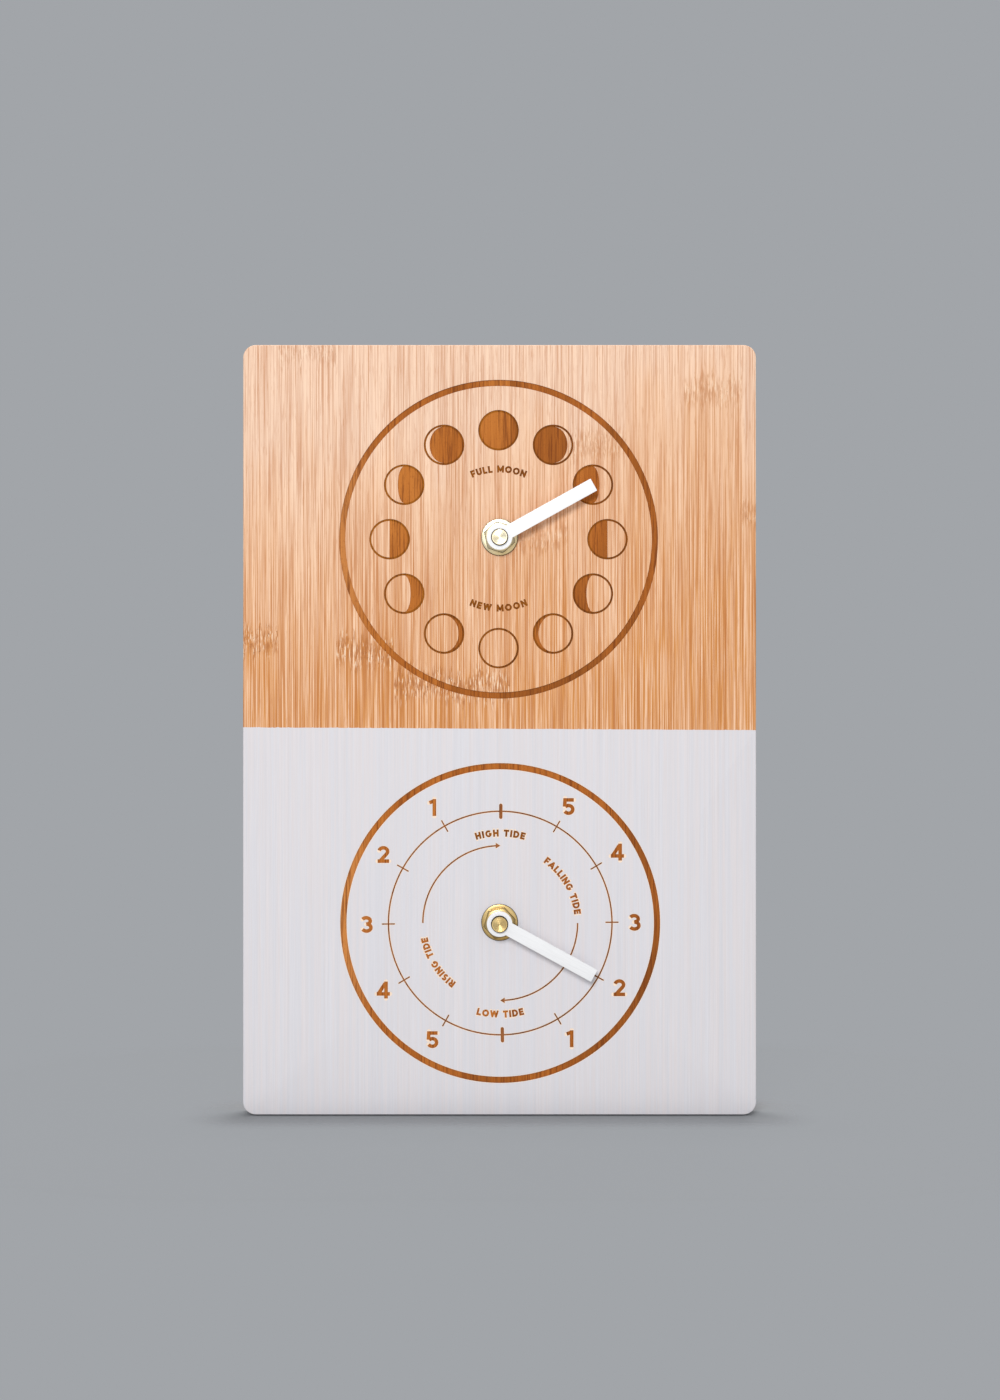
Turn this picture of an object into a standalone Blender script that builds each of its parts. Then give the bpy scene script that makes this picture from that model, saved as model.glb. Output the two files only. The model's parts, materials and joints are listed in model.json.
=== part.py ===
"""Wall tide clock: a bamboo board with a moon dial above a tide dial.

Each dial has one hand, driven by its own battery movement on the back of the board.
The wall is the plane y = 0 and the dials face -Y. Places along Y are written as
depths, measured forward from the wall, so a depth d lies at y = -d. Outlines are
drawn in X and Z as seen from the front. The origin is the point where the wall
hook bears on the hanger of the upper movement. Lengths are in metres.
"""

import math

import bpy
import bmesh
from mathutils import Matrix, Vector

# Clearances shared by all pieces
SEAT_GAP = 0.0003
FIT_GAP = 0.0001
PLANE_GAP = 0.0004
OVERRUN = 0.001
WELD = 0.0001

# Board
BOARD_WIDTH = 0.200
BOARD_HEIGHT = 0.300
BOARD_THICKNESS = 0.010
BOARD_CORNER_RADIUS = 0.005
BOARD_EDGE_BEVEL = 0.0004
DIAL_SPACING = 0.150
MOON_RING_RADIUS = 0.0609
TIDE_RING_RADIUS = 0.0611
RING_WIDTH = 0.0024
RING_DEPTH = 0.0005

# Hand, cap and the brass fixing that shows on each dial
HAND_LENGTH = 0.0418
HAND_WIDTH = 0.00525
HAND_THICKNESS = 0.0006
HAND_HEAD_RADIUS = 0.00495
HAND_COLLAR_RADIUS = 0.0036
HAND_COLLAR_LENGTH = 0.0008
MOON_HAND_DEGREES = 29.1
TIDE_HAND_DEGREES = -28.7
CAP_RADIUS = 0.00315
CAP_THICKNESS = 0.0013
CAP_EDGE_BEVEL = 0.0002
CAP_STEM_LENGTH = 0.0016
WASHER_RADIUS = 0.00715
WASHER_THICKNESS = 0.0005
NUT_ACROSS_FLATS = 0.011
NUT_THICKNESS = 0.0022
NUT_CHAMFER = 0.0004
MOON_NUT_DEGREES = 42.0
TIDE_NUT_DEGREES = 13.0
GASKET_RADIUS = 0.008
GASKET_THICKNESS = 0.0008
BUSHING_RADIUS = 0.004
BUSHING_STAND = 0.0005
BUSHING_FLANGE_RADIUS = 0.0055
BUSHING_FLANGE_THICKNESS = 0.0008

# Battery cell and its contacts
BATTERY_RADIUS = 0.00725
BATTERY_LENGTH = 0.0505
BATTERY_NUB_RADIUS = 0.00275
BATTERY_NUB_LENGTH = 0.0012
BATTERY_EDGE_BEVEL = 0.0005
BATTERY_RECESS = 0.0005
CONTACT_THICKNESS = 0.0004
CONTACT_BOW = 0.0011
CONTACT_WIDTH = 0.006
CONTACT_TAIL_WIDTH = 0.0017
CONTACT_TAB_LENGTH = 0.003
CONTACT_TAB_THICKNESS = 0.0003

# Movement case
CASE_HEIGHT = 0.056
CASE_WALL = 0.0012
CASE_CORNER_RADIUS = 0.003
CASE_SPLIT = 0.0085
PIVOT_WALL = 0.0006
BAY_WALL = 0.001
FINGER_NOTCH_RADIUS = 0.006
HANGER_THICKNESS = 0.003
HANGER_RIM = 0.003
HANGER_SILL = 0.0008
HOOK_HOLE_RADIUS = 0.0032
HOOK_HOLE_RISE = 0.0033
TONGUE_WIDTH = 0.006
TONGUE_THICKNESS = 0.001
TONGUE_LENGTH = 0.0045
TONGUE_PLACE = 0.014
BARB_HEIGHT = 0.0007
BARB_LENGTH = 0.0012
SCREW_RADIUS = 0.001
SCREW_LENGTH = 0.012
SCREW_HEAD_RADIUS = 0.002
SCREW_HEAD_THICKNESS = 0.0014
SCREW_RECESS = 0.0003
SCREW_BOSS_WALL = 0.0012
SCREW_SIDE = 0.020
LOWER_SPARE_SHARE = 0.3

# Setting knob
KNOB_RADIUS = 0.0054
KNOB_RIPPLE = 0.0002
KNOB_THICKNESS = 0.0018
KNOB_RECESS = 0.0003
KNOB_SHAFT_RADIUS = 0.0009
KNOB_WELL_GAP = 0.0005
WELL_WALL = 0.0008

# Wheels and arbors
WHEEL_THICKNESS = 0.0006
PINION_OVERHANG = 0.0002
ARBOR_RADIUS = 0.00045
PIVOT_GAP = 0.0001
BOSS_RADIUS = 0.0012
MOTION_DISTANCE = 0.007
THIRD_DISTANCE = 0.0081
ROTOR_DISTANCE = 0.0063
ARBOR_CLEARANCE = 0.00025
CANNON_SEAT_RADIUS = 0.00175
CANNON_STEM_RADIUS = 0.0017
CENTRE_HUB_RADIUS = 0.0026
HOUR_TUBE_RADIUS = 0.0025
HOUR_HUB_RADIUS = 0.0034
SECONDS_PIVOT_LENGTH = 0.002
THIRD_DEGREES = 150.0
INTERMEDIATE_DEGREES = 10.0
ROTOR_DEGREES = 50.0
MOTION_DEGREES = 100.0
KNOB_DEGREES = 120.0
ROTOR_TEETH = 6
INTERMEDIATE_TEETH = 36
INTERMEDIATE_PINION_TEETH = 6
SECONDS_TEETH = 30
SECONDS_PINION_TEETH = 6
THIRD_TEETH = 48
THIRD_PINION_TEETH = 6
CENTRE_TEETH = 45
CANNON_TEETH = 8
MOTION_TEETH = 24
MOTION_PINION_TEETH = 8
HOUR_TEETH = 32
KNOB_TEETH = 12

# Tooth form, as shares of the module and of the pitch
WHEEL_TIP_SHARE = 0.8
WHEEL_ROOT_SHARE = 1.2
PINION_TIP_SHARE = 0.7
PINION_ROOT_SHARE = 1.1
LEAF_TIP_SHARE = 0.14
LEAF_ROOT_SHARE = 0.42

# Bridge plate over the train, and the posts that it stands on
BRIDGE_THICKNESS = 0.0007
BRIDGE_EDGE = 0.0016
BRIDGE_POST_RADIUS = 0.0015
BRIDGE_POST_PLACES = ((-0.0125, 0.0030), (0.0140, 0.0), (0.0070, 0.0062))

# Stepping motor
MAGNET_RADIUS = 0.003
MAGNET_THICKNESS = 0.0015
MAGNET_GAP = 0.0004
STATOR_THICKNESS = 0.0008
STATOR_POLE_WIDTH = 0.0007
STATOR_LEG_WIDTH = 0.004
STATOR_POST_RADIUS = 0.0014
COIL_LENGTH = 0.0119
COIL_TOP_ROOM = 0.002
BOBBIN_FLANGE_RADIUS = 0.0036
BOBBIN_FLANGE_THICKNESS = 0.0006
BOBBIN_WALL = 0.0005
WINDING_RADIUS = 0.0032
CORE_HEIGHT = 0.0030
CORE_THICKNESS = 0.0008

# Circuit
CIRCUIT_HEIGHT = 0.010
CIRCUIT_THICKNESS = 0.0008
CIRCUIT_POST_RADIUS = 0.0015
CIRCUIT_POST_PLACE = 0.021
CHIP_RADIUS = 0.003
CHIP_HEIGHT = 0.001
CHIP_RIM_HEIGHT = 0.0003
CHIP_PLACE = -0.0055
CRYSTAL_RADIUS = 0.001
CRYSTAL_LENGTH = 0.006
CRYSTAL_PLACE = -0.0155

# Facets of round pieces
RING_SEGMENTS = 64
SHOWN_SEGMENTS = 24
ROUND_SEGMENTS = 16
SMALL_SEGMENTS = 8
CORNER_SEGMENTS = 4
KNOB_RIPPLES = 16

# Depths of the battery bay and the case
BATTERY_DEPTH = BATTERY_RECESS + BATTERY_RADIUS
FRONT_INSIDE = BATTERY_DEPTH + BATTERY_RADIUS + SEAT_GAP
CASE_FRONT_FACE = FRONT_INSIDE + CASE_WALL
CASE_FRONT_RIM = CASE_SPLIT + SEAT_GAP

# Depths from the case forward to the cap
GASKET_BACK = CASE_FRONT_FACE + SEAT_GAP
BOARD_BACK = GASKET_BACK + GASKET_THICKNESS + SEAT_GAP
BOARD_FRONT = BOARD_BACK + BOARD_THICKNESS
WASHER_BACK = BOARD_FRONT + SEAT_GAP
NUT_BACK = WASHER_BACK + WASHER_THICKNESS + SEAT_GAP
BUSHING_FRONT = NUT_BACK + NUT_THICKNESS + BUSHING_STAND
COLLAR_BACK = BUSHING_FRONT + SEAT_GAP
HAND_BACK = COLLAR_BACK + HAND_COLLAR_LENGTH
HAND_FRONT = HAND_BACK + HAND_THICKNESS
CAP_BACK = HAND_FRONT + SEAT_GAP
CAP_STEM_BACK = CAP_BACK - CAP_STEM_LENGTH
FLANGE_FRONT = FRONT_INSIDE - SEAT_GAP
FLANGE_BACK = FLANGE_FRONT - BUSHING_FLANGE_THICKNESS

# Depths of the wheel train, from the back cover forward
WELL_DEPTH = KNOB_RECESS + KNOB_THICKNESS + SEAT_GAP
WELL_FRONT = WELL_DEPTH + WELL_WALL
ARBOR_BACK = PIVOT_WALL + SEAT_GAP
SECONDS_BACK = WELL_FRONT + SEAT_GAP
SECONDS_FRONT = SECONDS_BACK + WHEEL_THICKNESS
THIRD_BACK = SECONDS_FRONT + PLANE_GAP
THIRD_FRONT = THIRD_BACK + WHEEL_THICKNESS
CENTRE_BACK = THIRD_FRONT + PINION_OVERHANG + SEAT_GAP
CENTRE_FRONT = CENTRE_BACK + WHEEL_THICKNESS
MAGNET_FRONT = CENTRE_BACK + MAGNET_THICKNESS
BRIDGE_BACK = MAGNET_FRONT + SEAT_GAP
BRIDGE_FRONT = BRIDGE_BACK + BRIDGE_THICKNESS
MOTION_BACK = BRIDGE_FRONT + PLANE_GAP
MOTION_FRONT = MOTION_BACK + WHEEL_THICKNESS
CANNON_FRONT = MOTION_FRONT + PINION_OVERHANG
HOUR_BACK = CANNON_FRONT + PLANE_GAP
HOUR_FRONT = HOUR_BACK + WHEEL_THICKNESS
MOTION_PINION_FRONT = HOUR_FRONT + PINION_OVERHANG
MOTION_BOSS_BACK = MOTION_PINION_FRONT + SEAT_GAP

# Depths of the motor and the circuit
STATOR_BACK = CENTRE_BACK + (MAGNET_THICKNESS - STATOR_THICKNESS) / 2
STATOR_FRONT = STATOR_BACK + STATOR_THICKNESS
CORE_BACK = STATOR_FRONT + SEAT_GAP
COIL_DEPTH = CORE_BACK + CORE_THICKNESS / 2
CIRCUIT_BACK = COIL_DEPTH + BOBBIN_FLANGE_RADIUS + SEAT_GAP
CIRCUIT_FRONT = CIRCUIT_BACK + CIRCUIT_THICKNESS

# Widths of the case, about the hand's axis
CONTACT_SPACE = SEAT_GAP + CONTACT_THICKNESS + SEAT_GAP
INNER_WIDTH = BATTERY_LENGTH + CONTACT_BOW + 2 * CONTACT_SPACE
CASE_WIDTH = INNER_WIDTH + 2 * CASE_WALL
INNER_HEIGHT = CASE_HEIGHT - 2 * CASE_WALL
INNER_RADIUS = CASE_CORNER_RADIUS - CASE_WALL
BATTERY_MINUS_END = -INNER_WIDTH / 2 + CONTACT_SPACE + CONTACT_BOW
BATTERY_PLUS_END = INNER_WIDTH / 2 - CONTACT_SPACE
BAY_WALL_END = INNER_WIDTH / 2 - CONTACT_SPACE
CIRCUIT_END = INNER_WIDTH / 2 - CONTACT_SPACE

# Gear sizes that follow from the arbor distances
CENTRE_MODULE = 2 * THIRD_DISTANCE / (CENTRE_TEETH + THIRD_PINION_TEETH)
CENTRE_TIP_RADIUS = CENTRE_MODULE * (CENTRE_TEETH / 2 + WHEEL_TIP_SHARE)
THIRD_MODULE = 2 * THIRD_DISTANCE / (THIRD_TEETH + SECONDS_PINION_TEETH)
SECONDS_TIP_RADIUS = THIRD_DISTANCE - ARBOR_RADIUS - ARBOR_CLEARANCE
SECONDS_MODULE = SECONDS_TIP_RADIUS / (SECONDS_TEETH / 2 + WHEEL_TIP_SHARE)
INTERMEDIATE_DISTANCE = SECONDS_MODULE * (SECONDS_TEETH + INTERMEDIATE_PINION_TEETH) / 2
INTERMEDIATE_MODULE = 2 * ROTOR_DISTANCE / (INTERMEDIATE_TEETH + ROTOR_TEETH)
HOUR_MODULE = 2 * MOTION_DISTANCE / (HOUR_TEETH + MOTION_PINION_TEETH)
MOTION_MODULE = 2 * MOTION_DISTANCE / (MOTION_TEETH + CANNON_TEETH)
KNOB_DISTANCE = MOTION_MODULE * (MOTION_TEETH + KNOB_TEETH) / 2


def from_point(start, distance, degrees):
    """Point at a distance and direction from another, seen from the front."""
    angle = math.radians(degrees)
    return (start[0] + distance * math.cos(angle), start[1] + distance * math.sin(angle))


CENTRE = (0.0, 0.0)
THIRD_ARBOR = from_point(CENTRE, THIRD_DISTANCE, THIRD_DEGREES)
INTERMEDIATE_ARBOR = from_point(CENTRE, INTERMEDIATE_DISTANCE, INTERMEDIATE_DEGREES)
ROTOR_ARBOR = from_point(INTERMEDIATE_ARBOR, ROTOR_DISTANCE, ROTOR_DEGREES)
MOTION_ARBOR = from_point(CENTRE, MOTION_DISTANCE, MOTION_DEGREES)
KNOB_ARBOR = from_point(MOTION_ARBOR, KNOB_DISTANCE, KNOB_DEGREES)

# Heights of the case: what the bay and the coil need, and a share of the height to spare
STATOR_REACH = MAGNET_RADIUS + MAGNET_GAP + STATOR_POLE_WIDTH
BAY_HEIGHT = 2 * (BATTERY_RADIUS + SEAT_GAP)
LOWER_NEED = CENTRE_TIP_RADIUS + SEAT_GAP + BAY_WALL + BAY_HEIGHT + CASE_WALL
COIL_NEED = SEAT_GAP + 2 * BOBBIN_FLANGE_RADIUS + COIL_TOP_ROOM + CASE_WALL
UPPER_NEED = ROTOR_ARBOR[1] + STATOR_REACH + COIL_NEED
SPARE_HEIGHT = CASE_HEIGHT - LOWER_NEED - UPPER_NEED
CASE_BOTTOM = -LOWER_NEED - LOWER_SPARE_SHARE * SPARE_HEIGHT
CASE_TOP = CASE_BOTTOM + CASE_HEIGHT
CASE_MIDDLE = (CASE_TOP + CASE_BOTTOM) / 2
INNER_TOP = CASE_TOP - CASE_WALL

# Heights of what stands in the case, about the hand's axis
BAY_FLOOR = CASE_BOTTOM + CASE_WALL
BATTERY_HEIGHT = BAY_FLOOR + SEAT_GAP + BATTERY_RADIUS
BAY_CEILING = BAY_FLOOR + BAY_HEIGHT
SCREW_HEIGHT = BAY_CEILING + BAY_WALL + SEAT_GAP + SCREW_HEAD_RADIUS + SCREW_BOSS_WALL
SCREW_PLACE = (SCREW_SIDE, SCREW_HEIGHT)
TONGUE_TOP = INNER_TOP - FIT_GAP
TONGUE_BOTTOM = TONGUE_TOP - TONGUE_THICKNESS
CIRCUIT_TOP = TONGUE_BOTTOM - SEAT_GAP
CIRCUIT_BOTTOM = CIRCUIT_TOP - CIRCUIT_HEIGHT
CIRCUIT_MIDDLE = (CIRCUIT_TOP + CIRCUIT_BOTTOM) / 2
COIL_HEIGHT = INNER_TOP - COIL_TOP_ROOM - BOBBIN_FLANGE_RADIUS
COIL_PLACE = (ROTOR_ARBOR[0], COIL_HEIGHT)

# Heights in the whole clock
HOOK_HOLE_HEIGHT = CASE_TOP + HOOK_HOLE_RISE
HOOK_HEIGHT = HOOK_HOLE_HEIGHT + HOOK_HOLE_RADIUS
MOON_AXIS_HEIGHT = -HOOK_HEIGHT
TIDE_AXIS_HEIGHT = MOON_AXIS_HEIGHT - DIAL_SPACING
BOARD_HEIGHT_CENTRE = (MOON_AXIS_HEIGHT + TIDE_AXIS_HEIGHT) / 2


# Outlines, as lists of (x, z) points seen from the front

def circle(radius, segments=ROUND_SEGMENTS, centre=CENTRE):
    return [from_point(centre, radius, 360.0 * i / segments) for i in range(segments)]


def box_outline(left, right, bottom, top):
    return [(left, bottom), (right, bottom), (right, top), (left, top)]


def rounded_box(width, height, radius, segments=CORNER_SEGMENTS):
    points = []
    corners = ((1, 1), (-1, 1), (-1, -1), (1, -1))
    for quarter, (side, end) in enumerate(corners):
        centre = (side * (width / 2 - radius), end * (height / 2 - radius))
        for i in range(segments + 1):
            points.append(from_point(centre, radius, 90.0 * (quarter + i / segments)))
    return points


def raised(outline, height):
    return [(x, z + height) for x, z in outline]


def arch(radius, floor, centre):
    """A round top on straight sides that stand on a level floor."""
    top = [from_point(centre, radius, 180.0 * i / SMALL_SEGMENTS) for i in range(SMALL_SEGMENTS + 1)]
    return top + [(centre[0] - radius, floor), (centre[0] + radius, floor)]


def wheel_outline(teeth, module, phase):
    """Pointed teeth, two points each."""
    tip = module * (teeth / 2 + WHEEL_TIP_SHARE)
    root = module * (teeth / 2 - WHEEL_ROOT_SHARE)
    pitch = 360.0 / teeth
    points = []
    for i in range(teeth):
        middle = math.degrees(phase) + i * pitch
        points.append(from_point(CENTRE, root, middle - pitch / 2))
        points.append(from_point(CENTRE, tip, middle))
    return points


def pinion_outline(teeth, module, phase):
    """Narrow leaves with flat tips and wide gaps, four points each."""
    tip = module * (teeth / 2 + PINION_TIP_SHARE)
    root = module * (teeth / 2 - PINION_ROOT_SHARE)
    pitch = 360.0 / teeth
    foot = LEAF_ROOT_SHARE * pitch / 2
    crest = LEAF_TIP_SHARE * pitch / 2
    points = []
    for i in range(teeth):
        middle = math.degrees(phase) + i * pitch
        for radius, offset in ((root, -foot), (tip, -crest), (tip, crest), (root, foot)):
            points.append(from_point(CENTRE, radius, middle + offset))
    return points


def meshed_phase(phase, teeth, other_teeth, degrees):
    """Phase of a gear whose teeth fall in the gaps of one at the given phase."""
    direction = math.radians(degrees)
    pitch = 2 * math.pi / teeth
    other_pitch = 2 * math.pi / other_teeth
    share = (direction - phase) / pitch
    return direction + math.pi - other_pitch * (0.5 - share)


def hull(points):
    """Convex outline round a set of points."""
    ordered = sorted(set(points))

    def half(source):
        chain = []
        for point in source:
            while len(chain) > 1 and turn(chain[-2], chain[-1], point) <= 0:
                chain.pop()
            chain.append(point)
        return chain[:-1]

    return half(ordered) + half(ordered[::-1])


def turn(first, second, third):
    return ((second[0] - first[0]) * (third[1] - first[1])
            - (second[1] - first[1]) * (third[0] - first[0]))


# Solids, each returned as an object to be joined, cut or kept

def solid(mesh_builder):
    """Closed object from a bmesh, with its faces turned outwards."""
    bmesh.ops.recalc_face_normals(mesh_builder, faces=mesh_builder.faces)
    mesh = bpy.data.meshes.new("solid")
    mesh_builder.to_mesh(mesh)
    mesh_builder.free()
    item = bpy.data.objects.new("solid", mesh)
    bpy.context.collection.objects.link(item)
    return item


def loft(sections):
    """Solid through outlines of as many points, given as (outline, depth) pairs."""
    builder = bmesh.new()
    loops = []
    for outline, depth in sections:
        loops.append([builder.verts.new((x, -depth, z)) for x, z in outline])
    for near, far in zip(loops, loops[1:]):
        for i in range(len(near)):
            j = (i + 1) % len(near)
            builder.faces.new((near[i], near[j], far[j], far[i]))
    builder.faces.new(loops[0])
    builder.faces.new(loops[-1])
    return solid(builder)


def prism(outline, back, front):
    return loft(((outline, back), (outline, front)))


def turned(profile, segments=ROUND_SEGMENTS, centre=CENTRE):
    """Solid of revolution about a line along Y, from (radius, depth) points."""
    builder = bmesh.new()
    loops = []
    for radius, depth in profile:
        if radius:
            outline = circle(radius, segments, centre)
            loops.append([builder.verts.new((x, -depth, z)) for x, z in outline])
        else:
            loops.append([builder.verts.new((centre[0], -depth, centre[1]))])
    hollow = len(loops[0]) > 1
    following = loops[1:] + loops[:1] if hollow else loops[1:]
    for near, far in zip(loops, following):
        for i in range(segments):
            j = (i + 1) % segments
            corners = [near[i % len(near)], near[j % len(near)], far[j % len(far)], far[i % len(far)]]
            builder.faces.new(list(dict.fromkeys(corners)))
    return solid(builder)


def tube(outer, inner, back, front, segments=ROUND_SEGMENTS, centre=CENTRE):
    return turned(((outer, back), (outer, front), (inner, front), (inner, back)), segments, centre)


def rod(radius, back, front, segments=ROUND_SEGMENTS, centre=CENTRE):
    return prism(circle(radius, segments, centre), back, front)


def combine(body, tools, operation):
    """Join the tools to a body or cut them from it, and use them up."""
    for tool in tools:
        modifier = body.modifiers.new(operation, "BOOLEAN")
        modifier.operation = operation
        modifier.object = tool
    graph = bpy.context.evaluated_depsgraph_get()
    mesh = bpy.data.meshes.new_from_object(body.evaluated_get(graph))
    body.modifiers.clear()
    body.data = mesh
    for tool in tools:
        bpy.data.objects.remove(tool)
    return body


def join(body, *tools):
    return combine(body, tools, "UNION")


def cut(body, *tools):
    return combine(body, tools, "DIFFERENCE")


def keep_common(body, *tools):
    return combine(body, tools, "INTERSECT")


# Finishes

def finish(name, colour, roughness, metallic=0.0):
    material = bpy.data.materials.new(name)
    material.use_nodes = True
    shader = material.node_tree.nodes["Principled BSDF"]
    shader.inputs["Base Color"].default_value = (*colour, 1.0)
    shader.inputs["Roughness"].default_value = roughness
    shader.inputs["Metallic"].default_value = metallic
    material.diffuse_color = (*colour, 1.0)
    return material


def make_finishes():
    return {
        "bamboo": finish("bamboo", (0.76, 0.52, 0.33), 0.55),
        "rubber": finish("rubber", (0.03, 0.03, 0.03), 0.85),
        "brass": finish("brass", (0.78, 0.60, 0.30), 0.3, 1.0),
        "hand_metal": finish("hand_metal", (0.88, 0.88, 0.89), 0.35, 1.0),
        "case_plastic": finish("case_plastic", (0.025, 0.025, 0.027), 0.5),
        "knob_plastic": finish("knob_plastic", (0.30, 0.30, 0.31), 0.5),
        "wheel_plastic": finish("wheel_plastic", (0.80, 0.79, 0.74), 0.45),
        "white_plastic": finish("white_plastic", (0.75, 0.74, 0.70), 0.45),
        "magnet": finish("magnet", (0.10, 0.10, 0.11), 0.5, 0.6),
        "soft_iron": finish("soft_iron", (0.55, 0.55, 0.56), 0.4, 1.0),
        "copper_wire": finish("copper_wire", (0.72, 0.33, 0.16), 0.35, 1.0),
        "circuit_green": finish("circuit_green", (0.05, 0.22, 0.10), 0.5),
        "black_resin": finish("black_resin", (0.02, 0.02, 0.02), 0.35),
        "nickel": finish("nickel", (0.70, 0.69, 0.66), 0.3, 1.0),
        "cell_sleeve": finish("cell_sleeve", (0.16, 0.17, 0.19), 0.4),
    }


# The board

def board():
    def edge(inset):
        outline = rounded_box(BOARD_WIDTH - 2 * inset, BOARD_HEIGHT - 2 * inset,
                              BOARD_CORNER_RADIUS - inset)
        return raised(outline, BOARD_HEIGHT_CENTRE)

    body = loft(((edge(BOARD_EDGE_BEVEL), BOARD_BACK),
                 (edge(0.0), BOARD_BACK + BOARD_EDGE_BEVEL),
                 (edge(0.0), BOARD_FRONT - BOARD_EDGE_BEVEL),
                 (edge(BOARD_EDGE_BEVEL), BOARD_FRONT)))
    cutters = []
    for height, radius in ((MOON_AXIS_HEIGHT, MOON_RING_RADIUS), (TIDE_AXIS_HEIGHT, TIDE_RING_RADIUS)):
        axis = (0.0, height)
        cutters.append(rod(BUSHING_RADIUS + SEAT_GAP, BOARD_BACK - OVERRUN, BOARD_FRONT + OVERRUN,
                           ROUND_SEGMENTS, axis))
        cutters.append(tube(radius + RING_WIDTH / 2, radius - RING_WIDTH / 2,
                            BOARD_FRONT - RING_DEPTH, BOARD_FRONT + OVERRUN, RING_SEGMENTS, axis))
    return cut(body, *cutters)


# Pieces that show on a dial, about the hand's axis

def washer():
    return tube(WASHER_RADIUS, BUSHING_RADIUS + FIT_GAP, WASHER_BACK,
                WASHER_BACK + WASHER_THICKNESS, SHOWN_SEGMENTS)


def nut():
    corner = NUT_ACROSS_FLATS / math.sqrt(3.0)
    flat = NUT_ACROSS_FLATS / 2
    front = NUT_BACK + NUT_THICKNESS
    body = prism(circle(corner, 6), NUT_BACK, front)
    barrel = turned(((0.0, NUT_BACK - OVERRUN), (corner + OVERRUN, NUT_BACK - OVERRUN),
                     (corner + OVERRUN, front - NUT_CHAMFER), (flat, front + NUT_CHAMFER),
                     (0.0, front + NUT_CHAMFER)), SHOWN_SEGMENTS)
    keep_common(body, barrel)
    return cut(body, rod(BUSHING_RADIUS + FIT_GAP, NUT_BACK - OVERRUN, front + OVERRUN))


def gasket():
    return tube(GASKET_RADIUS, BUSHING_RADIUS + FIT_GAP, GASKET_BACK, GASKET_BACK + GASKET_THICKNESS)


def bushing():
    bore = HOUR_TUBE_RADIUS + FIT_GAP
    return turned(((BUSHING_FLANGE_RADIUS, FLANGE_BACK), (BUSHING_FLANGE_RADIUS, FLANGE_FRONT),
                   (BUSHING_RADIUS, FLANGE_FRONT), (BUSHING_RADIUS, BUSHING_FRONT),
                   (bore, BUSHING_FRONT), (bore, FLANGE_BACK)))


def hand():
    """Flat baton with a round head, pointing along +X, and a collar behind it."""
    half = HAND_WIDTH / 2
    spread = math.degrees(math.asin(half / HAND_HEAD_RADIUS))
    steps = SHOWN_SEGMENTS
    head = [from_point(CENTRE, HAND_HEAD_RADIUS, spread + (360.0 - 2 * spread) * i / steps)
            for i in range(steps + 1)]
    outline = head + [(HAND_LENGTH, -half), (HAND_LENGTH, half)]
    body = prism(outline, HAND_BACK, HAND_FRONT)
    join(body, rod(HAND_COLLAR_RADIUS, COLLAR_BACK, HAND_BACK + HAND_THICKNESS / 2))
    return cut(body, rod(HOUR_TUBE_RADIUS + FIT_GAP, COLLAR_BACK - OVERRUN, HAND_FRONT + OVERRUN))


def cap():
    """Button whose stem fits the hour tube's bore in front of the cannon pinion."""
    return turned(((0.0, CAP_STEM_BACK), (CANNON_STEM_RADIUS, CAP_STEM_BACK), (CANNON_STEM_RADIUS, CAP_BACK),
                   (CAP_RADIUS, CAP_BACK), (CAP_RADIUS, CAP_BACK + CAP_THICKNESS - CAP_EDGE_BEVEL),
                   (CAP_RADIUS - CAP_EDGE_BEVEL, CAP_BACK + CAP_THICKNESS),
                   (0.0, CAP_BACK + CAP_THICKNESS)), SHOWN_SEGMENTS)


# Wheels, each drawn about its own arbor

def arbor(back, front):
    return rod(ARBOR_RADIUS, back, front, SMALL_SEGMENTS)


def hour_wheel():
    body = prism(wheel_outline(HOUR_TEETH, HOUR_MODULE, 0.0), HOUR_BACK, HOUR_FRONT)
    hub_front = FLANGE_BACK - SEAT_GAP
    join(body, rod(HOUR_HUB_RADIUS, HOUR_BACK + WELD, hub_front))
    join(body, rod(HOUR_TUBE_RADIUS, hub_front - WELD, HAND_FRONT))
    bore = CANNON_STEM_RADIUS + FIT_GAP
    return cut(body, rod(bore, HOUR_BACK - OVERRUN, HAND_FRONT + OVERRUN))


def motion_phases():
    """Phases of the pinion and the wheel on the motion arbor."""
    pinion = meshed_phase(0.0, HOUR_TEETH, MOTION_PINION_TEETH, MOTION_DEGREES)
    wheel = meshed_phase(0.0, CANNON_TEETH, MOTION_TEETH, MOTION_DEGREES)
    return pinion, wheel


def motion_wheel():
    pinion, wheel = motion_phases()
    body = prism(wheel_outline(MOTION_TEETH, MOTION_MODULE, wheel), MOTION_BACK, MOTION_FRONT)
    leaves = pinion_outline(MOTION_PINION_TEETH, HOUR_MODULE, pinion)
    join(body, prism(leaves, MOTION_FRONT - WELD, MOTION_PINION_FRONT))
    return join(body, arbor(BRIDGE_BACK, FLANGE_BACK))


def cannon_pinion():
    """Rod that carries the centre wheel, the pinion and the stem in the hour tube."""
    body = prism(pinion_outline(CANNON_TEETH, MOTION_MODULE, 0.0), BRIDGE_FRONT, CANNON_FRONT)
    join(body, rod(CANNON_SEAT_RADIUS, CENTRE_BACK, BRIDGE_FRONT + WELD))
    join(body, rod(CANNON_STEM_RADIUS, CANNON_FRONT - WELD, CAP_STEM_BACK - SEAT_GAP))
    bore_front = CENTRE_BACK + SECONDS_PIVOT_LENGTH + SEAT_GAP
    return cut(body, rod(ARBOR_RADIUS + PIVOT_GAP, CENTRE_BACK - OVERRUN, bore_front, SMALL_SEGMENTS))


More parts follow.
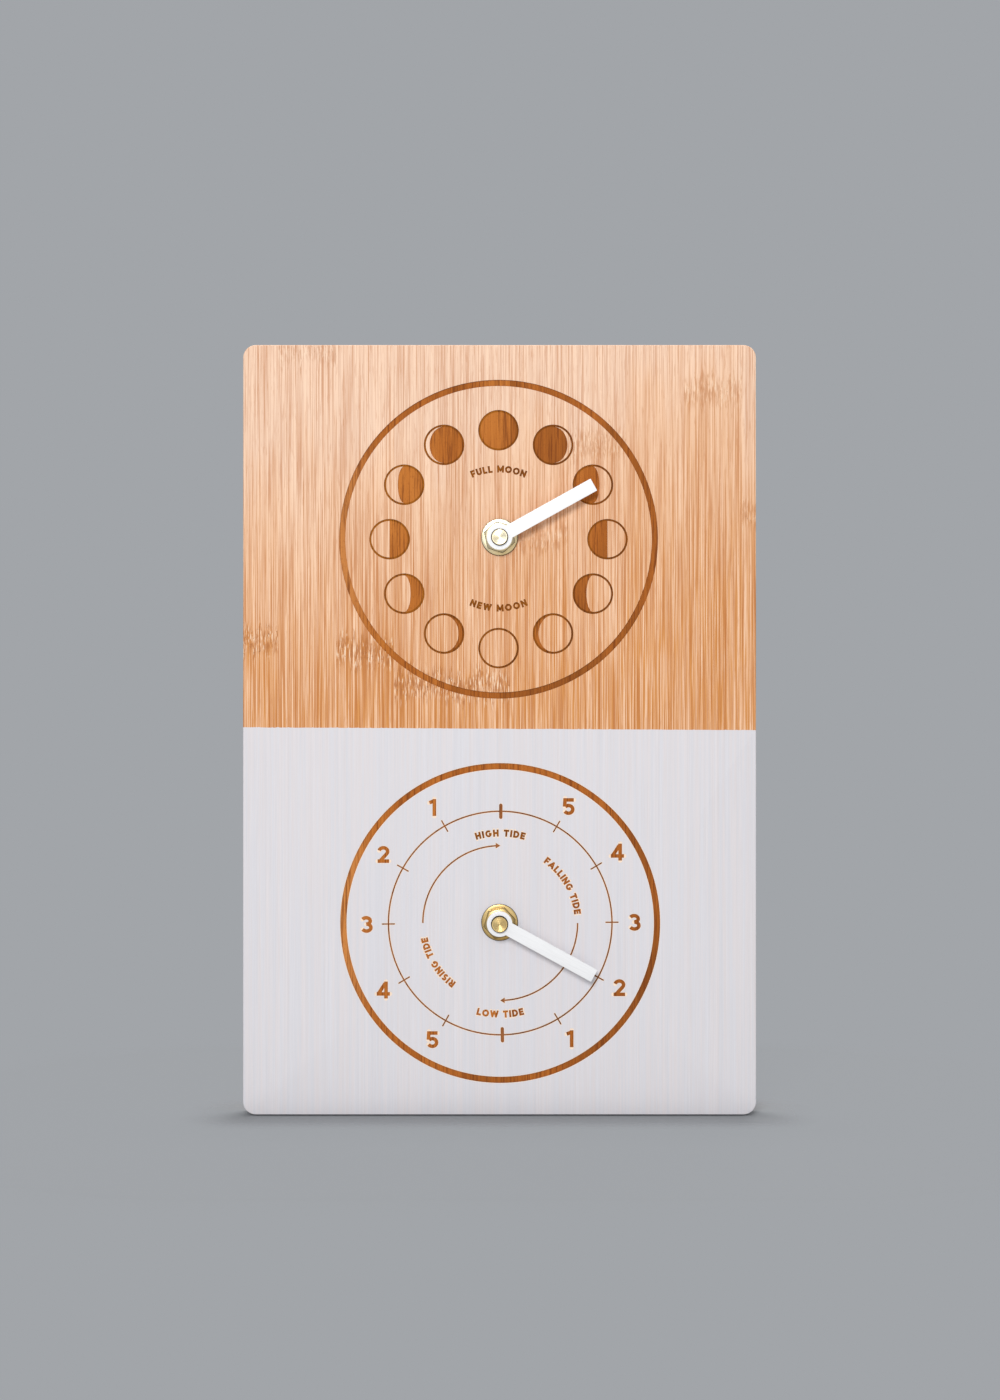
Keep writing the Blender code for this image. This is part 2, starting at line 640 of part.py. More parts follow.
def setting_knob():
    """Rippled head in the well of the back cover, on a shaft with a small gear."""
    points = 2 * KNOB_RIPPLES
    rim = []
    for i in range(points):
        degrees = 360.0 * i / points
        ripple = KNOB_RIPPLE * math.cos(math.radians(degrees * KNOB_RIPPLES))
        rim.append(from_point(CENTRE, KNOB_RADIUS - KNOB_RIPPLE + ripple, degrees))
    head_front = KNOB_RECESS + KNOB_THICKNESS
    body = prism(rim, KNOB_RECESS, head_front)
    join(body, rod(KNOB_SHAFT_RADIUS, head_front - WELD, MOTION_BACK + WELD, SMALL_SEGMENTS))
    phase = meshed_phase(motion_phases()[1], MOTION_TEETH, KNOB_TEETH, KNOB_DEGREES)
    teeth = pinion_outline(KNOB_TEETH, MOTION_MODULE, phase)
    return join(body, prism(teeth, MOTION_BACK, MOTION_FRONT + PINION_OVERHANG))


def centre_wheel():
    body = prism(wheel_outline(CENTRE_TEETH, CENTRE_MODULE, 0.0), CENTRE_BACK, CENTRE_FRONT)
    hub_front = BRIDGE_BACK - SEAT_GAP
    join(body, rod(CENTRE_HUB_RADIUS, CENTRE_BACK + WELD, hub_front))
    bore = CANNON_SEAT_RADIUS + FIT_GAP
    return cut(body, rod(bore, CENTRE_BACK - OVERRUN, hub_front + OVERRUN))


def third_wheel():
    pinion = meshed_phase(0.0, CENTRE_TEETH, THIRD_PINION_TEETH, THIRD_DEGREES)
    body = prism(wheel_outline(THIRD_TEETH, THIRD_MODULE, 0.0), THIRD_BACK, THIRD_FRONT)
    leaves = pinion_outline(THIRD_PINION_TEETH, CENTRE_MODULE, pinion)
    join(body, prism(leaves, THIRD_FRONT - WELD, CENTRE_FRONT + PINION_OVERHANG))
    return join(body, arbor(ARBOR_BACK, BRIDGE_FRONT))


def seconds_phases():
    """Phases of the pinion and the wheel on the seconds arbor."""
    pinion = meshed_phase(0.0, THIRD_TEETH, SECONDS_PINION_TEETH, THIRD_DEGREES + 180.0)
    return pinion, 0.0


def seconds_wheel():
    pinion, wheel = seconds_phases()
    body = prism(wheel_outline(SECONDS_TEETH, SECONDS_MODULE, wheel), SECONDS_BACK, SECONDS_FRONT)
    leaves = pinion_outline(SECONDS_PINION_TEETH, THIRD_MODULE, pinion)
    join(body, prism(leaves, SECONDS_FRONT - WELD, THIRD_FRONT + PINION_OVERHANG))
    return join(body, arbor(ARBOR_BACK, CENTRE_BACK + SECONDS_PIVOT_LENGTH))


def intermediate_wheel():
    pinion = meshed_phase(0.0, SECONDS_TEETH, INTERMEDIATE_PINION_TEETH, INTERMEDIATE_DEGREES)
    body = prism(wheel_outline(INTERMEDIATE_TEETH, INTERMEDIATE_MODULE, 0.0), THIRD_BACK, THIRD_FRONT)
    leaves = pinion_outline(INTERMEDIATE_PINION_TEETH, SECONDS_MODULE, pinion)
    join(body, prism(leaves, SECONDS_BACK, THIRD_BACK + WELD))
    return join(body, arbor(ARBOR_BACK, BRIDGE_FRONT))


def rotor():
    """Pinion and round magnet of the stepping motor."""
    phase = meshed_phase(0.0, INTERMEDIATE_TEETH, ROTOR_TEETH, ROTOR_DEGREES)
    body = rod(MAGNET_RADIUS, CENTRE_BACK, MAGNET_FRONT)
    leaves = pinion_outline(ROTOR_TEETH, INTERMEDIATE_MODULE, phase)
    join(body, prism(leaves, THIRD_BACK - PINION_OVERHANG, CENTRE_BACK + WELD))
    return join(body, arbor(ARBOR_BACK, BRIDGE_FRONT))


# Fixed pieces inside the case

def gear_bridge():
    carried = ((THIRD_ARBOR, BOSS_RADIUS), (INTERMEDIATE_ARBOR, BOSS_RADIUS), (ROTOR_ARBOR, BOSS_RADIUS),
               (MOTION_ARBOR, BOSS_RADIUS), (KNOB_ARBOR, KNOB_SHAFT_RADIUS),
               (CENTRE, CANNON_SEAT_RADIUS))
    supports = tuple((place, BRIDGE_POST_RADIUS) for place in BRIDGE_POST_PLACES)
    points = []
    for place, radius in carried + supports:
        points += circle(radius + BRIDGE_EDGE, SMALL_SEGMENTS, place)
    body = prism(hull(points), BRIDGE_BACK, BRIDGE_FRONT)
    holes = [(THIRD_ARBOR, ARBOR_RADIUS + PIVOT_GAP), (INTERMEDIATE_ARBOR, ARBOR_RADIUS + PIVOT_GAP),
             (ROTOR_ARBOR, ARBOR_RADIUS + PIVOT_GAP), (MOTION_ARBOR, ARBOR_RADIUS + PIVOT_GAP),
             (KNOB_ARBOR, KNOB_SHAFT_RADIUS + PIVOT_GAP), (CENTRE, CANNON_SEAT_RADIUS + FIT_GAP)]
    cutters = []
    for place, radius in holes:
        segments = ROUND_SEGMENTS if place == CENTRE else SMALL_SEGMENTS
        cutters.append(rod(radius, BRIDGE_BACK - OVERRUN, BRIDGE_FRONT + OVERRUN, segments, place))
    return cut(body, *cutters)


def leg_offset():
    """Distance from the coil's middle to the middle of a stator leg."""
    return COIL_LENGTH / 2 + SEAT_GAP + STATOR_LEG_WIDTH / 2


def stator():
    """Flat yoke round the magnet, with a leg up to each end of the coil."""
    hole = MAGNET_RADIUS + MAGNET_GAP
    half = STATOR_REACH
    outer = leg_offset() + STATOR_LEG_WIDTH / 2
    inner = leg_offset() - STATOR_LEG_WIDTH / 2
    middle, axis = ROTOR_ARBOR
    top = COIL_HEIGHT + CORE_HEIGHT / 2 + STATOR_POLE_WIDTH
    yoke = [(-half, -half), (half, -half), (outer, half), (outer, top - axis), (inner, top - axis),
            (inner, half + STATOR_POLE_WIDTH), (-inner, half + STATOR_POLE_WIDTH), (-inner, top - axis),
            (-outer, top - axis), (-outer, half)]
    body = prism([(middle + x, axis + z) for x, z in yoke], STATOR_BACK, STATOR_FRONT)
    return cut(body, rod(hole, STATOR_BACK - OVERRUN, STATOR_FRONT + OVERRUN, ROUND_SEGMENTS, ROTOR_ARBOR))


def coil_core():
    """Flat bar through the bobbin, lying on both stator legs."""
    reach = leg_offset() + STATOR_LEG_WIDTH / 2
    outline = box_outline(COIL_PLACE[0] - reach, COIL_PLACE[0] + reach,
                          COIL_PLACE[1] - CORE_HEIGHT / 2, COIL_PLACE[1] + CORE_HEIGHT / 2)
    return prism(outline, CORE_BACK, CORE_BACK + CORE_THICKNESS)


def along_coil(body):
    """Lay a piece that was turned about Y along X, at the coil's place."""
    body.data.transform(Matrix.Rotation(math.radians(90.0), 4, "Z"))
    body.data.transform(Matrix.Translation((COIL_PLACE[0], -COIL_DEPTH, COIL_PLACE[1])))
    return body


def bobbin_barrel_radius():
    """Outside of the bobbin's barrel, which holds the core's corners."""
    corner = math.hypot(CORE_HEIGHT / 2 + FIT_GAP, CORE_THICKNESS / 2 + FIT_GAP)
    return corner + BOBBIN_WALL


def coil_bobbin():
    half = COIL_LENGTH / 2
    inner = half - BOBBIN_FLANGE_THICKNESS
    barrel = bobbin_barrel_radius()
    body = along_coil(turned(((0.0, -half), (BOBBIN_FLANGE_RADIUS, -half), (BOBBIN_FLANGE_RADIUS, -inner),
                              (barrel, -inner), (barrel, inner), (BOBBIN_FLANGE_RADIUS, inner),
                              (BOBBIN_FLANGE_RADIUS, half), (0.0, half))))
    slot = box_outline(COIL_PLACE[0] - half - OVERRUN, COIL_PLACE[0] + half + OVERRUN,
                       COIL_PLACE[1] - CORE_HEIGHT / 2 - FIT_GAP, COIL_PLACE[1] + CORE_HEIGHT / 2 + FIT_GAP)
    return cut(body, prism(slot, CORE_BACK - FIT_GAP, CORE_BACK + CORE_THICKNESS + FIT_GAP))


def coil_winding():
    half = COIL_LENGTH / 2 - BOBBIN_FLANGE_THICKNESS - FIT_GAP
    return along_coil(tube(WINDING_RADIUS, bobbin_barrel_radius() + FIT_GAP, -half, half))


def circuit_board():
    outline = box_outline(-CIRCUIT_END, CIRCUIT_END, CIRCUIT_BOTTOM, CIRCUIT_TOP)
    return prism(outline, CIRCUIT_BACK, CIRCUIT_FRONT)


def chip():
    """Low resin dome on the front of the circuit board."""
    base = CIRCUIT_FRONT + SEAT_GAP
    rim = base + CHIP_RIM_HEIGHT
    profile = [(0.0, base), (CHIP_RADIUS, base)]
    for i in range(CORNER_SEGMENTS):
        angle = math.radians(90.0 * i / CORNER_SEGMENTS)
        rise = (CHIP_HEIGHT - CHIP_RIM_HEIGHT) * math.sin(angle)
        profile.append((CHIP_RADIUS * math.cos(angle), rim + rise))
    profile.append((0.0, base + CHIP_HEIGHT))
    return turned(profile, ROUND_SEGMENTS, (CHIP_PLACE, CIRCUIT_MIDDLE))


def crystal():
    """Small metal can lying along X on the front of the circuit board."""
    half = CRYSTAL_LENGTH / 2
    body = rod(CRYSTAL_RADIUS, -half, half, SMALL_SEGMENTS)
    body.data.transform(Matrix.Rotation(math.radians(90.0), 4, "Z"))
    depth = CIRCUIT_FRONT + SEAT_GAP + CRYSTAL_RADIUS
    body.data.transform(Matrix.Translation((CRYSTAL_PLACE, -depth, CIRCUIT_MIDDLE)))
    return body


def contact(side, bow):
    """Sprung strip at one end of the cell, with a tail up to the circuit board."""
    wall = INNER_WIDTH / 2 - SEAT_GAP
    inner = wall - CONTACT_THICKNESS
    low = BATTERY_HEIGHT - BATTERY_RADIUS + BATTERY_EDGE_BEVEL
    high = BAY_CEILING + BAY_WALL + CONTACT_TAIL_WIDTH
    rise = CONTACT_WIDTH / 2
    line = [(0.0, low), (0.0, BATTERY_HEIGHT - rise), (bow, BATTERY_HEIGHT),
            (0.0, BATTERY_HEIGHT + rise), (0.0, high)]
    outline = [(side * (wall - push), z) for push, z in line]
    outline += [(side * (inner - push), z) for push, z in reversed(line)]
    body = prism(outline, BATTERY_DEPTH - CONTACT_WIDTH / 2, BATTERY_DEPTH + CONTACT_WIDTH / 2)
    tab_front = CIRCUIT_BACK - SEAT_GAP
    tail_top = CIRCUIT_MIDDLE + CONTACT_TAB_LENGTH / 2
    edges = sorted((side * wall, side * inner))
    tail = box_outline(edges[0], edges[1], high - CONTACT_TAIL_WIDTH, tail_top)
    join(body, prism(tail, tab_front - CONTACT_TAIL_WIDTH, tab_front))
    reach = sorted((side * (wall - WELD), side * (inner - CONTACT_TAB_LENGTH)))
    tab = box_outline(reach[0], reach[1], CIRCUIT_MIDDLE - CONTACT_TAB_LENGTH / 2, tail_top - WELD)
    return join(body, prism(tab, tab_front - CONTACT_TAB_THICKNESS, tab_front - WELD))


def contact_minus():
    return contact(-1, CONTACT_BOW)


def contact_plus():
    return contact(1, 0.0)


def battery():
    """Round cell lying along X, with its plus nub to the right."""
    shoulder = BATTERY_LENGTH - BATTERY_NUB_LENGTH
    body = turned(((0.0, 0.0), (BATTERY_RADIUS - BATTERY_EDGE_BEVEL, 0.0),
                   (BATTERY_RADIUS, BATTERY_EDGE_BEVEL), (BATTERY_RADIUS, shoulder - BATTERY_EDGE_BEVEL),
                   (BATTERY_RADIUS - BATTERY_EDGE_BEVEL, shoulder), (BATTERY_NUB_RADIUS, shoulder),
                   (BATTERY_NUB_RADIUS, BATTERY_LENGTH), (0.0, BATTERY_LENGTH)))
    body.data.transform(Matrix.Rotation(math.radians(90.0), 4, "Z"))
    body.data.transform(Matrix.Translation((BATTERY_MINUS_END, -BATTERY_DEPTH, BATTERY_HEIGHT)))
    return body


# The case

def case_outline():
    return raised(rounded_box(CASE_WIDTH, CASE_HEIGHT, CASE_CORNER_RADIUS), CASE_MIDDLE)


def cavity_outline():
    return raised(rounded_box(INNER_WIDTH, INNER_HEIGHT, INNER_RADIUS), CASE_MIDDLE)


def case_back():
    """Back cover: battery bay, finger notch, knob well, pivot bosses, stator posts and hanger."""
    body = prism(case_outline(), 0.0, CASE_SPLIT)
    cut(body, prism(cavity_outline(), CASE_WALL, CASE_SPLIT + OVERRUN))
    inside = CASE_WALL / 2

    ceiling = box_outline(-BAY_WALL_END, BAY_WALL_END, BAY_CEILING, BAY_CEILING + BAY_WALL)
    well = rod(KNOB_RADIUS + KNOB_WELL_GAP + WELL_WALL, inside, WELL_FRONT, ROUND_SEGMENTS, KNOB_ARBOR)
    pocket = rod(FINGER_NOTCH_RADIUS + BAY_WALL, inside, WELL_FRONT, ROUND_SEGMENTS, (0.0, BAY_CEILING))
    join(body, prism(ceiling, inside, FRONT_INSIDE - SEAT_GAP), well, pocket)

    arbors = (CENTRE, THIRD_ARBOR, INTERMEDIATE_ARBOR, ROTOR_ARBOR)
    join(body, *[rod(BOSS_RADIUS, inside, WELL_FRONT, SMALL_SEGMENTS, place) for place in arbors])
    posts = []
    for side in (-1, 1):
        place = (COIL_PLACE[0] + side * leg_offset(), COIL_PLACE[1])
        posts.append(rod(STATOR_POST_RADIUS, inside, STATOR_BACK - SEAT_GAP, SMALL_SEGMENTS, place))
    posts.append(rod(SCREW_HEAD_RADIUS + SCREW_BOSS_WALL, inside, CASE_SPLIT, ROUND_SEGMENTS, SCREW_PLACE))
    join(body, *posts)

    tab = arch(HOOK_HOLE_RADIUS + HANGER_RIM, CASE_TOP - CASE_WALL / 2, (0.0, HOOK_HOLE_HEIGHT))
    join(body, prism(tab, 0.0, HANGER_THICKNESS))
    hook_hole = arch(HOOK_HOLE_RADIUS, CASE_TOP + HANGER_SILL, (0.0, HOOK_HOLE_HEIGHT))
    cut(body, prism(hook_hole, -OVERRUN, HANGER_THICKNESS + OVERRUN))

    well_radius = KNOB_RADIUS + KNOB_WELL_GAP
    screw_bore = SCREW_RADIUS + FIT_GAP
    head_bore = SCREW_HEAD_RADIUS + FIT_GAP
    head_seat = SCREW_RECESS + SCREW_HEAD_THICKNESS + SEAT_GAP
    cut(body,
        rod(well_radius, -OVERRUN, WELL_DEPTH, ROUND_SEGMENTS, KNOB_ARBOR),
        rod(KNOB_SHAFT_RADIUS + PIVOT_GAP, CASE_WALL, WELL_FRONT + OVERRUN, SMALL_SEGMENTS, KNOB_ARBOR),
        rod(head_bore, -OVERRUN, head_seat, ROUND_SEGMENTS, SCREW_PLACE),
        rod(screw_bore, CASE_WALL, CASE_SPLIT + OVERRUN, SMALL_SEGMENTS, SCREW_PLACE))
    pivot = ARBOR_RADIUS + PIVOT_GAP
    cut(body, *[rod(pivot, PIVOT_WALL, WELL_FRONT + OVERRUN, SMALL_SEGMENTS, place) for place in arbors])

    mouth = box_outline(BATTERY_MINUS_END - SEAT_GAP, BATTERY_PLUS_END + SEAT_GAP, BAY_FLOOR, BAY_CEILING)
    notch = rod(FINGER_NOTCH_RADIUS, -OVERRUN, WELL_DEPTH, ROUND_SEGMENTS, (0.0, BAY_CEILING))
    cut(body, prism(mouth, -OVERRUN, WELL_FRONT + OVERRUN), notch)
    return cut(body, *[tongue_window(side) for side in (-1, 1)])


def tongue_window(side):
    """Opening in the back cover's top wall where a tongue's barb catches."""
    middle = side * TONGUE_PLACE
    half = TONGUE_WIDTH / 2 + FIT_GAP
    end = CASE_SPLIT - TONGUE_LENGTH
    outline = box_outline(middle - half, middle + half, TONGUE_TOP, CASE_TOP + OVERRUN)
    return prism(outline, end - FIT_GAP, end + BARB_LENGTH + FIT_GAP)


def tongue(side):
    """Snap tongue that reaches from the front shell under the back cover's wall."""
    middle = side * TONGUE_PLACE
    left = middle - TONGUE_WIDTH / 2
    right = middle + TONGUE_WIDTH / 2
    end = CASE_SPLIT - TONGUE_LENGTH
    root = CASE_FRONT_RIM + TONGUE_THICKNESS
    body = prism(box_outline(left, right, TONGUE_BOTTOM, TONGUE_TOP), end, root)
    barb = box_outline(left + WELD, right - WELD, TONGUE_BOTTOM + WELD, TONGUE_TOP + BARB_HEIGHT)
    foot = box_outline(left + WELD, right - WELD, TONGUE_BOTTOM + WELD, CASE_TOP - CASE_WALL / 2)
    join(body, prism(barb, end + WELD, end + BARB_LENGTH))
    return join(body, prism(foot, CASE_FRONT_RIM + WELD, root + WELD))


def case_front():
    """Front shell with the posts of the bridge, screw, circuit and motion arbor."""
    body = prism(case_outline(), CASE_FRONT_RIM, CASE_FRONT_FACE)
    cut(body, prism(cavity_outline(), CASE_FRONT_RIM - OVERRUN, FRONT_INSIDE))
    inside = FRONT_INSIDE + CASE_WALL / 2
    posts = [rod(BRIDGE_POST_RADIUS, BRIDGE_FRONT + SEAT_GAP, inside, SMALL_SEGMENTS, place)
             for place in BRIDGE_POST_PLACES]
    posts.append(rod(SCREW_RADIUS + SCREW_BOSS_WALL, CASE_FRONT_RIM, inside, SMALL_SEGMENTS, SCREW_PLACE))
    posts.append(rod(BOSS_RADIUS, MOTION_BOSS_BACK, inside, SMALL_SEGMENTS, MOTION_ARBOR))
    for side in (-1, 1):
        place = (side * CIRCUIT_POST_PLACE, CIRCUIT_MIDDLE)
        posts.append(rod(CIRCUIT_POST_RADIUS, CIRCUIT_FRONT + SEAT_GAP, inside, SMALL_SEGMENTS, place))
    join(body, *posts)
    join(body, *[tongue(side) for side in (-1, 1)])
    screw_end = SCREW_RECESS + SCREW_LENGTH + SEAT_GAP
    return cut(body,
               rod(SCREW_RADIUS + FIT_GAP, CASE_SPLIT, screw_end, SMALL_SEGMENTS, SCREW_PLACE),
               rod(ARBOR_RADIUS + PIVOT_GAP, MOTION_BOSS_BACK - OVERRUN, FRONT_INSIDE,
                   SMALL_SEGMENTS, MOTION_ARBOR),
               rod(BUSHING_RADIUS + FIT_GAP, FRONT_INSIDE - OVERRUN, CASE_FRONT_FACE + OVERRUN))


def case_screw():
    head_front = SCREW_RECESS + SCREW_HEAD_THICKNESS
    return turned(((0.0, SCREW_RECESS), (SCREW_HEAD_RADIUS, SCREW_RECESS), (SCREW_HEAD_RADIUS, head_front),
                   (SCREW_RADIUS, head_front), (SCREW_RADIUS, SCREW_RECESS + SCREW_LENGTH),
                   (0.0, SCREW_RECESS + SCREW_LENGTH)), SMALL_SEGMENTS, SCREW_PLACE)


# Every piece of a movement: its maker, its finish and the arbor that it turns on

MOVEMENT_PIECES = (
    ("case_back", case_back, "case_plastic", CENTRE),
    ("case_front", case_front, "case_plastic", CENTRE),
    ("case_screw", case_screw, "nickel", CENTRE),
    ("bushing", bushing, "brass", CENTRE),
    ("gasket", gasket, "rubber", CENTRE),
    ("washer", washer, "brass", CENTRE),
    ("nut", nut, "brass", CENTRE),
    ("hand", hand, "hand_metal", CENTRE),
    ("cap", cap, "brass", CENTRE),
    ("hour_wheel", hour_wheel, "wheel_plastic", CENTRE),
    ("motion_wheel", motion_wheel, "wheel_plastic", MOTION_ARBOR),
    ("cannon_pinion", cannon_pinion, "white_plastic", CENTRE),
    ("setting_knob", setting_knob, "knob_plastic", KNOB_ARBOR),
    ("centre_wheel", centre_wheel, "wheel_plastic", CENTRE),
    ("third_wheel", third_wheel, "white_plastic", THIRD_ARBOR),
    ("seconds_wheel", seconds_wheel, "wheel_plastic", CENTRE),
    ("intermediate_wheel", intermediate_wheel, "white_plastic", INTERMEDIATE_ARBOR),
    ("rotor", rotor, "magnet", ROTOR_ARBOR),
    ("gear_bridge", gear_bridge, "white_plastic", CENTRE),
    ("stator", stator, "soft_iron", CENTRE),
    ("coil_core", coil_core, "soft_iron", CENTRE),
    ("coil_bobbin", coil_bobbin, "white_plastic", CENTRE),
    ("coil_winding", coil_winding, "copper_wire", CENTRE),
    ("circuit_board", circuit_board, "circuit_green", CENTRE),
    ("chip", chip, "black_resin", CENTRE),
    ("crystal", crystal, "nickel", CENTRE),
    ("contact_minus", contact_minus, "nickel", CENTRE),
    ("contact_plus", contact_plus, "nickel", CENTRE),
    ("battery", battery, "cell_sleeve", CENTRE),
)


def make_mesh(maker, name, material):
    """Finished mesh of a piece, without the object that it was made with."""
    item = maker()
    mesh = item.data
    mesh.name = name
    mesh.materials.clear()
    mesh.materials.append(material)
    mesh.shade_smooth()
    mesh.set_sharp_from_angle(angle=math.radians(30.0))
    bpy.data.objects.remove(item)
    return mesh


def add_piece(name, mesh, parent=None, place=CENTRE, degrees=0.0):
    item = bpy.data.objects.new(name, mesh)
    bpy.context.collection.objects.link(item)
    item.location = Vector((place[0], 0.0, place[1]))
    item.rotation_euler = (0.0, -math.radians(degrees), 0.0)
    item.parent = parent
    return item


def add_movement(prefix, height, meshes, turned_pieces):
    axis = bpy.data.objects.new(prefix + "_axis", None)
    bpy.context.collection.objects.link(axis)
    axis.location = Vector((0.0, 0.0, height))
    for name, _, _, place in MOVEMENT_PIECES:
        add_piece(prefix + "_" + name, meshes[name], axis, place, turned_pieces.get(name, 0.0))


def main():
    for item in list(bpy.data.objects):
        bpy.data.objects.remove(item)
    finishes = make_finishes()
    meshes = {name: make_mesh(maker, name, finishes[look]) for name, maker, look, _ in MOVEMENT_PIECES}
    add_piece("board", make_mesh(board, "board", finishes["bamboo"]))
    add_movement("moon", MOON_AXIS_HEIGHT, meshes,
                 {"hand": MOON_HAND_DEGREES, "nut": MOON_NUT_DEGREES})
    add_movement("tide", TIDE_AXIS_HEIGHT, meshes,
                 {"hand": TIDE_HAND_DEGREES, "nut": TIDE_NUT_DEGREES})


main()
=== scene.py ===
"""Looks of a tide clock: bamboo board, white paint, burnt dials, brass hubs and two battery movements.

The frame gives every CAD node at its real place in metres. The dials face -Y, x runs to the
right and z up. Pieces made here are placed from the boxes of the nodes that they belong to.
"""
import json
import math

import bmesh
import bpy
import numpy as np
from bpy.props import FloatProperty, FloatVectorProperty, IntProperty, PointerProperty
from mathutils import Matrix, Vector
from mathutils.geometry import delaunay_2d_cdt

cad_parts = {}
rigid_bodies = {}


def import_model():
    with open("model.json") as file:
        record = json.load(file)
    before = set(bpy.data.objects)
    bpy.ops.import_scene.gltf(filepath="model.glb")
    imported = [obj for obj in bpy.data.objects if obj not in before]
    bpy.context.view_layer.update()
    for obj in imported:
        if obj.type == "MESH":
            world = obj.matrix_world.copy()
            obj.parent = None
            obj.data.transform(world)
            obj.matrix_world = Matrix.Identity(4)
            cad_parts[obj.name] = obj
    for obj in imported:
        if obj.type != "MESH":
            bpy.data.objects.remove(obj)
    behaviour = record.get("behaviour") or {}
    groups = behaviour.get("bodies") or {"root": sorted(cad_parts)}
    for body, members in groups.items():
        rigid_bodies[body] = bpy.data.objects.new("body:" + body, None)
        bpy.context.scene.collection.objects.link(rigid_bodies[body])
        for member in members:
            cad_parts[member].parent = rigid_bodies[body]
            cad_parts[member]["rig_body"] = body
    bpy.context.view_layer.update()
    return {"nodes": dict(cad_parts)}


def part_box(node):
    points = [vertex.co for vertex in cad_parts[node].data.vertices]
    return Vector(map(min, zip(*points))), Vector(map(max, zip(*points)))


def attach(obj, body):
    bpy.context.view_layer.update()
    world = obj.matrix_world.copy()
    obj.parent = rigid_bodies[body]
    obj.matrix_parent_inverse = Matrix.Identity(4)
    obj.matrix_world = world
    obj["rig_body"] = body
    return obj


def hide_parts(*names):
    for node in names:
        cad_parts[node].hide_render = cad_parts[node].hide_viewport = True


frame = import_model()

bl_info = {
    "name": "Tide clock looks",
    "version": (1, 0, 0),
    "blender": (4, 5, 0),
    "location": "3D View > Sidebar > Tide clock",
    "description": "Board, dials, hubs and movements of a tide clock, dressed over its CAD model",
    "category": "Object",
}

MM = 0.001
MICRON = 0.000001
DIALS = ("moon", "tide")
ROOT_BODY = "clock_body"
MERGE_DISTANCE = 2e-6
SHARP_ANGLE = math.radians(35)
OPEN = float("nan")


def box_corners(name):
    """Lowest and highest corner of a node."""
    return [Vector(corner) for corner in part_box(name)]


def node_centre(name):
    low, high = box_corners(name)
    return (low + high) / 2


def node_points(name):
    node = frame["nodes"][name]
    return np.array([node.matrix_world @ vertex.co for vertex in node.data.vertices])


BOARD_LOW, BOARD_HIGH = box_corners("board")
AXES = {dial: node_centre(f"{dial}_washer") for dial in DIALS}


# Settings

def length(name, description, millimetres, **limits):
    return FloatProperty(name=name, description=description, default=millimetres * MM, unit="LENGTH", **limits)


def lengths(name, description, *millimetres):
    return FloatVectorProperty(name=name, description=description, size=len(millimetres), unit="LENGTH",
                               default=[value * MM for value in millimetres])


def colour(name, description, *channels):
    return FloatVectorProperty(name=name, description=description, default=channels, subtype="COLOR")


def power(name, description, watts):
    return FloatProperty(name=name, description=f"{description}, in watts", default=watts, min=0.0)


def turns(name, description, count, least):
    return IntProperty(name=name, description=description, default=count, min=least)


class BoardLook(bpy.types.PropertyGroup):
    """Sizes and colours of the board, its paint and its marks."""

    corner_radius: length("Corner radius", "Rounding of the board's corners", 5.0, min=0.0)
    edge_round: length("Edge rounding", "Rounding of the front and back edges", 0.4, min=0.05 * MM)
    bore_radius: length("Bore radius", "Hole through the board behind each washer", 4.3, min=MM)
    ring_radius: lengths("Ring radii", "Middle radius of the moon ring and of the tide ring", 60.9, 61.1)
    ring_width: length("Ring width", "Width of the burnt ring round each dial", 2.4)
    ring_depth: length("Ring depth", "Depth of the rings below the face", 0.5)
    mark_depth: length("Mark depth", "Depth of moons, words and numbers", 0.28)
    line_depth: length("Line depth", "Depth of the moons' outlines and of the moon dial's words", 0.34)
    hour_depth: length("Hour line depth", "Depth of the tide dial's circle, ticks and arrows", 0.31)
    paint_thickness: length("Paint thickness", "Thickness of the white coat", 0.05)
    paint_drop: length("Paint line", "Distance of the paint's upper edge below the top of the board", 149.6)
    paint_slope: length("Paint slope", "Fall of the paint's upper edge over the board's width", 1.1)
    paint_rim: length("Bare rim", "Bare wood left round each mark in the paint", 0.16)
    dial_shift: lengths("Dial shift", "How far each engraved dial is from its spindle: moon x, moon z, tide x, tide z",
                        -0.40, -0.74, 0.25, -0.30)
    moon_circle: length("Moon circle", "Radius of the circle that the twelve moons stand on", 42.45)
    moon_radius: length("Moon radius", "Outer radius of each moon", 7.9)
    fine_line: length("Fine line", "Width of the moons' outlines", 0.78)
    hour_line: length("Hour line", "Width of the tide dial's circle, arrows and thin ticks", 0.56)
    hour_circle: length("Hour circle", "Radius of the tide dial's thin circle", 43.55)
    arrow_circle: length("Arrow circle", "Radius of the two arrows", 30.15)
    digit_circle: length("Digit circle", "Radius that the digits are centred on", 52.3)
    digit_height: length("Digit height", "Height of the hour digits", 6.6)
    word_height: length("Word height", "Height of the capital letters", 2.75)
    wood_pale: colour("Pale bamboo", "Bamboo at the pale end of its range", 0.812, 0.523, 0.345)
    wood_deep: colour("Deep bamboo", "Bamboo at the deep end of its range", 0.652, 0.277, 0.074)
    burnt: colour("Burnt bamboo", "Floor of rings, moons and numbers", 0.410, 0.119, 0.016)
    charred: colour("Charred bamboo", "Outlines of the moons and the words of the moon dial", 0.272, 0.076, 0.003)
    seared: colour("Seared bamboo", "Circle, ticks and arrows of the tide dial", 0.305, 0.102, 0.027)
    paint: colour("Paint", "White coat of the lower half", 0.664, 0.640, 0.669)


